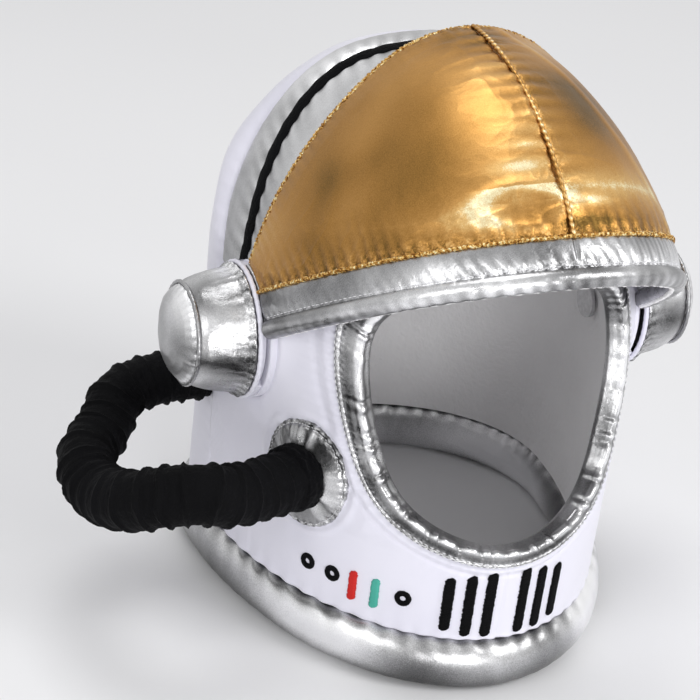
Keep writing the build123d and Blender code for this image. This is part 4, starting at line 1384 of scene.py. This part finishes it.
THREAD_PITCH, THREAD_HEIGHT, THREAD_ROOT = 0.42, 0.9, -0.25
RING_THREADS = 54
VENT_BOTTOMS, VENT_TOP, VENT_PITCH = (27.2, 27.5, 29.8), 61.0, 9.1
BAR_MIDDLE, BAR_HALF_HEIGHT = 41.2, 7.6
COLOURED_BARS = (("red", -58.8, RED_THREAD), ("teal", -51.4, TEAL_THREAD))
RING_PLACES, RING_HEIGHT = (-72.5, -65.3, -41.5), 42.8


def satin_height(across, thread):
    return THREAD_HEIGHT * (1 - across**4) ** 0.8 * (0.86 + 0.14 * np.abs(np.sin(np.pi * thread)))


def raised(base, normal, lift):
    """The thread's places, with both its edges set into the cloth."""
    lift[:, 0] = lift[:, -1] = THREAD_ROOT
    return base + normal * lift[..., None]


def bar_grid(x, low, high, half, seed):
    rows, columns = count(int((high - low) / 0.10)), count(22)
    z = np.linspace(low, high, rows)[:, None]
    v = np.linspace(-1, 1, columns)
    middle, straight = (low + high) / 2, (high - low) / 2 - half
    end = np.clip((np.abs(z - middle) - straight) / half, 0, 1)
    thread = z / THREAD_PITCH
    number = in_row(np.floor(thread[:, 0])) + seed * 7.7
    left, right = (noise(number, 0.8, seed + k)[:, None] for k in (0, 1))
    wide = half * np.sqrt(np.clip(1 - end**2.4, 0.02, 1))
    across = v * wide + 0.36 * np.where(v < 0, left, right) * np.abs(v)
    base, normal = on_wall(F.front_of(x, middle), across, z - middle + 0.25 * v)
    lift = satin_height(v, thread + 0.3 * v) + 0.05
    lift = lift * np.sqrt(np.clip(1 - end**4, 0.05, 1))
    lift[0] = lift[-1] = THREAD_ROOT
    return raised(base, normal, lift)


def ring_grid(x, z, inner, outer, seed):
    t, v = circle(300)[:, None], np.linspace(-1, 1, count(20))
    ragged = noise(loop_of(t[:, 0]), 0.10, seed)[:, None]
    r = (inner + outer) / 2 + v * (outer - inner) / 2 + 0.16 * ragged * v
    base, normal = on_wall(F.front_of(x, z), r * np.cos(t), r * np.sin(t))
    return raised(base, normal, satin_height(v, t / (2 * np.pi) * RING_THREADS))


def joined(name, grids, replaced, material, wrap_u=False):
    """One piece of embroidery from several grids."""
    vertices, faces = [], []
    for grid in grids:
        first = sum(len(v) for v in vertices)
        nu, nv = grid.shape[:2]
        faces += [[first + i for i in face] for face in grid_faces(nu, nv, wrap_u, flip=True)]
        vertices.append(grid.reshape(-1, 3))
    mesh_object(name, np.concatenate(vertices), faces, replaced, material)


def make_embroidery():
    for side, name in SIDES:
        bars = [bar_grid(2.0 + side * (8.2 + VENT_PITCH * i), low, VENT_TOP - 1.7 * i, 2.5, 11 + i + 4 * side)
                for i, low in enumerate(VENT_BOTTOMS)]
        joined("vent_bars_thread_" + name, bars, ("vent_bars_" + name,), BLACK_THREAD)
    for name, x, material in COLOURED_BARS:
        bar = bar_grid(x, BAR_MIDDLE - BAR_HALF_HEIGHT, BAR_MIDDLE + BAR_HALF_HEIGHT, 2.0, 21)
        joined(name + "_bar_thread", [bar], (name + "_bar",), material)
    rings = [ring_grid(x, RING_HEIGHT, 1.3, 3.9, 31 + i) for i, x in enumerate(RING_PLACES)]
    joined("cheek_rings_thread", rings, ("cheek_rings",), BLACK_THREAD, wrap_u=True)


make_embroidery()


# The metal pieces keep their solids

for name in ("pivot_stud_left", "pivot_stud_right", "visor_eyelet_left", "visor_eyelet_right"):
    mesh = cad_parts[name].data
    mesh.materials.clear()
    mesh.materials.append(STEEL)


# Room: pale floor and world, soft lamps

WORLD_GREY = (0.83, 0.83, 0.83, 1)
AIM = Vector((0, 0, 0.13))


def make_floor():
    material, tree, shader = new_material("pale_floor")
    tree.feed(shader, {"Roughness": 0.9, "Specular IOR Level": 0.1,
                       "Base Color": tree.ramp(tree.noise(3, 2), greys((0.3, 0.82), (0.7, 0.84)))})
    bpy.ops.mesh.primitive_plane_add(size=8, location=(0, 0, -0.0005))
    floor = bpy.context.object
    floor.name = "floor"
    floor.data.materials.append(material)


def make_world():
    """A grey world that is brighter where it is seen, in the camera or in a gloss."""
    world = bpy.data.worlds.new("studio")
    bpy.context.scene.world = world
    world.use_nodes = True
    tree, nodes = Nodes(world.node_tree), world.node_tree.nodes
    tree.feed(nodes["Background"], {"Color": WORLD_GREY, "Strength": 0.6})
    seen = tree.add("Background", {"Color": WORLD_GREY, "Strength": 1.0})
    path = tree.add("LightPath", {})
    direct = path.outputs["Is Camera Ray"]
    for ray in ("Is Glossy Ray", "Is Transmission Ray"):
        direct = tree.maths("ADD", direct, path.outputs[ray], clamp=True)
    mix = tree.add("MixShader", {"Fac": direct, 1: nodes["Background"].outputs[0], 2: seen.outputs[0]})
    tree.feed(nodes["World Output"], {"Surface": mix.outputs[0]})


def lamp(name, place, size, power):
    data = bpy.data.lights.new(name, "AREA")
    data.shape = "RECTANGLE"
    data.size, data.size_y = size
    data.energy = power
    turn = (AIM - Vector(place)).to_track_quat("-Z", "Y").to_matrix().to_4x4()
    add_object(name, data).matrix_world = Matrix.Translation(place) @ turn


make_floor()
make_world()
lamp("key", (1.1, -1.2, 1.3), (0.7, 0.9), 16)
lamp("fill", (-1.5, -0.9, 0.9), (0.9, 0.9), 6)
lamp("front", (-0.3, -1.9, 0.35), (0.6, 0.5), 11)
lamp("top", (-0.1, 0.4, 1.7), (0.8, 0.8), 8)
bpy.context.scene.view_settings.view_transform = "Standard"
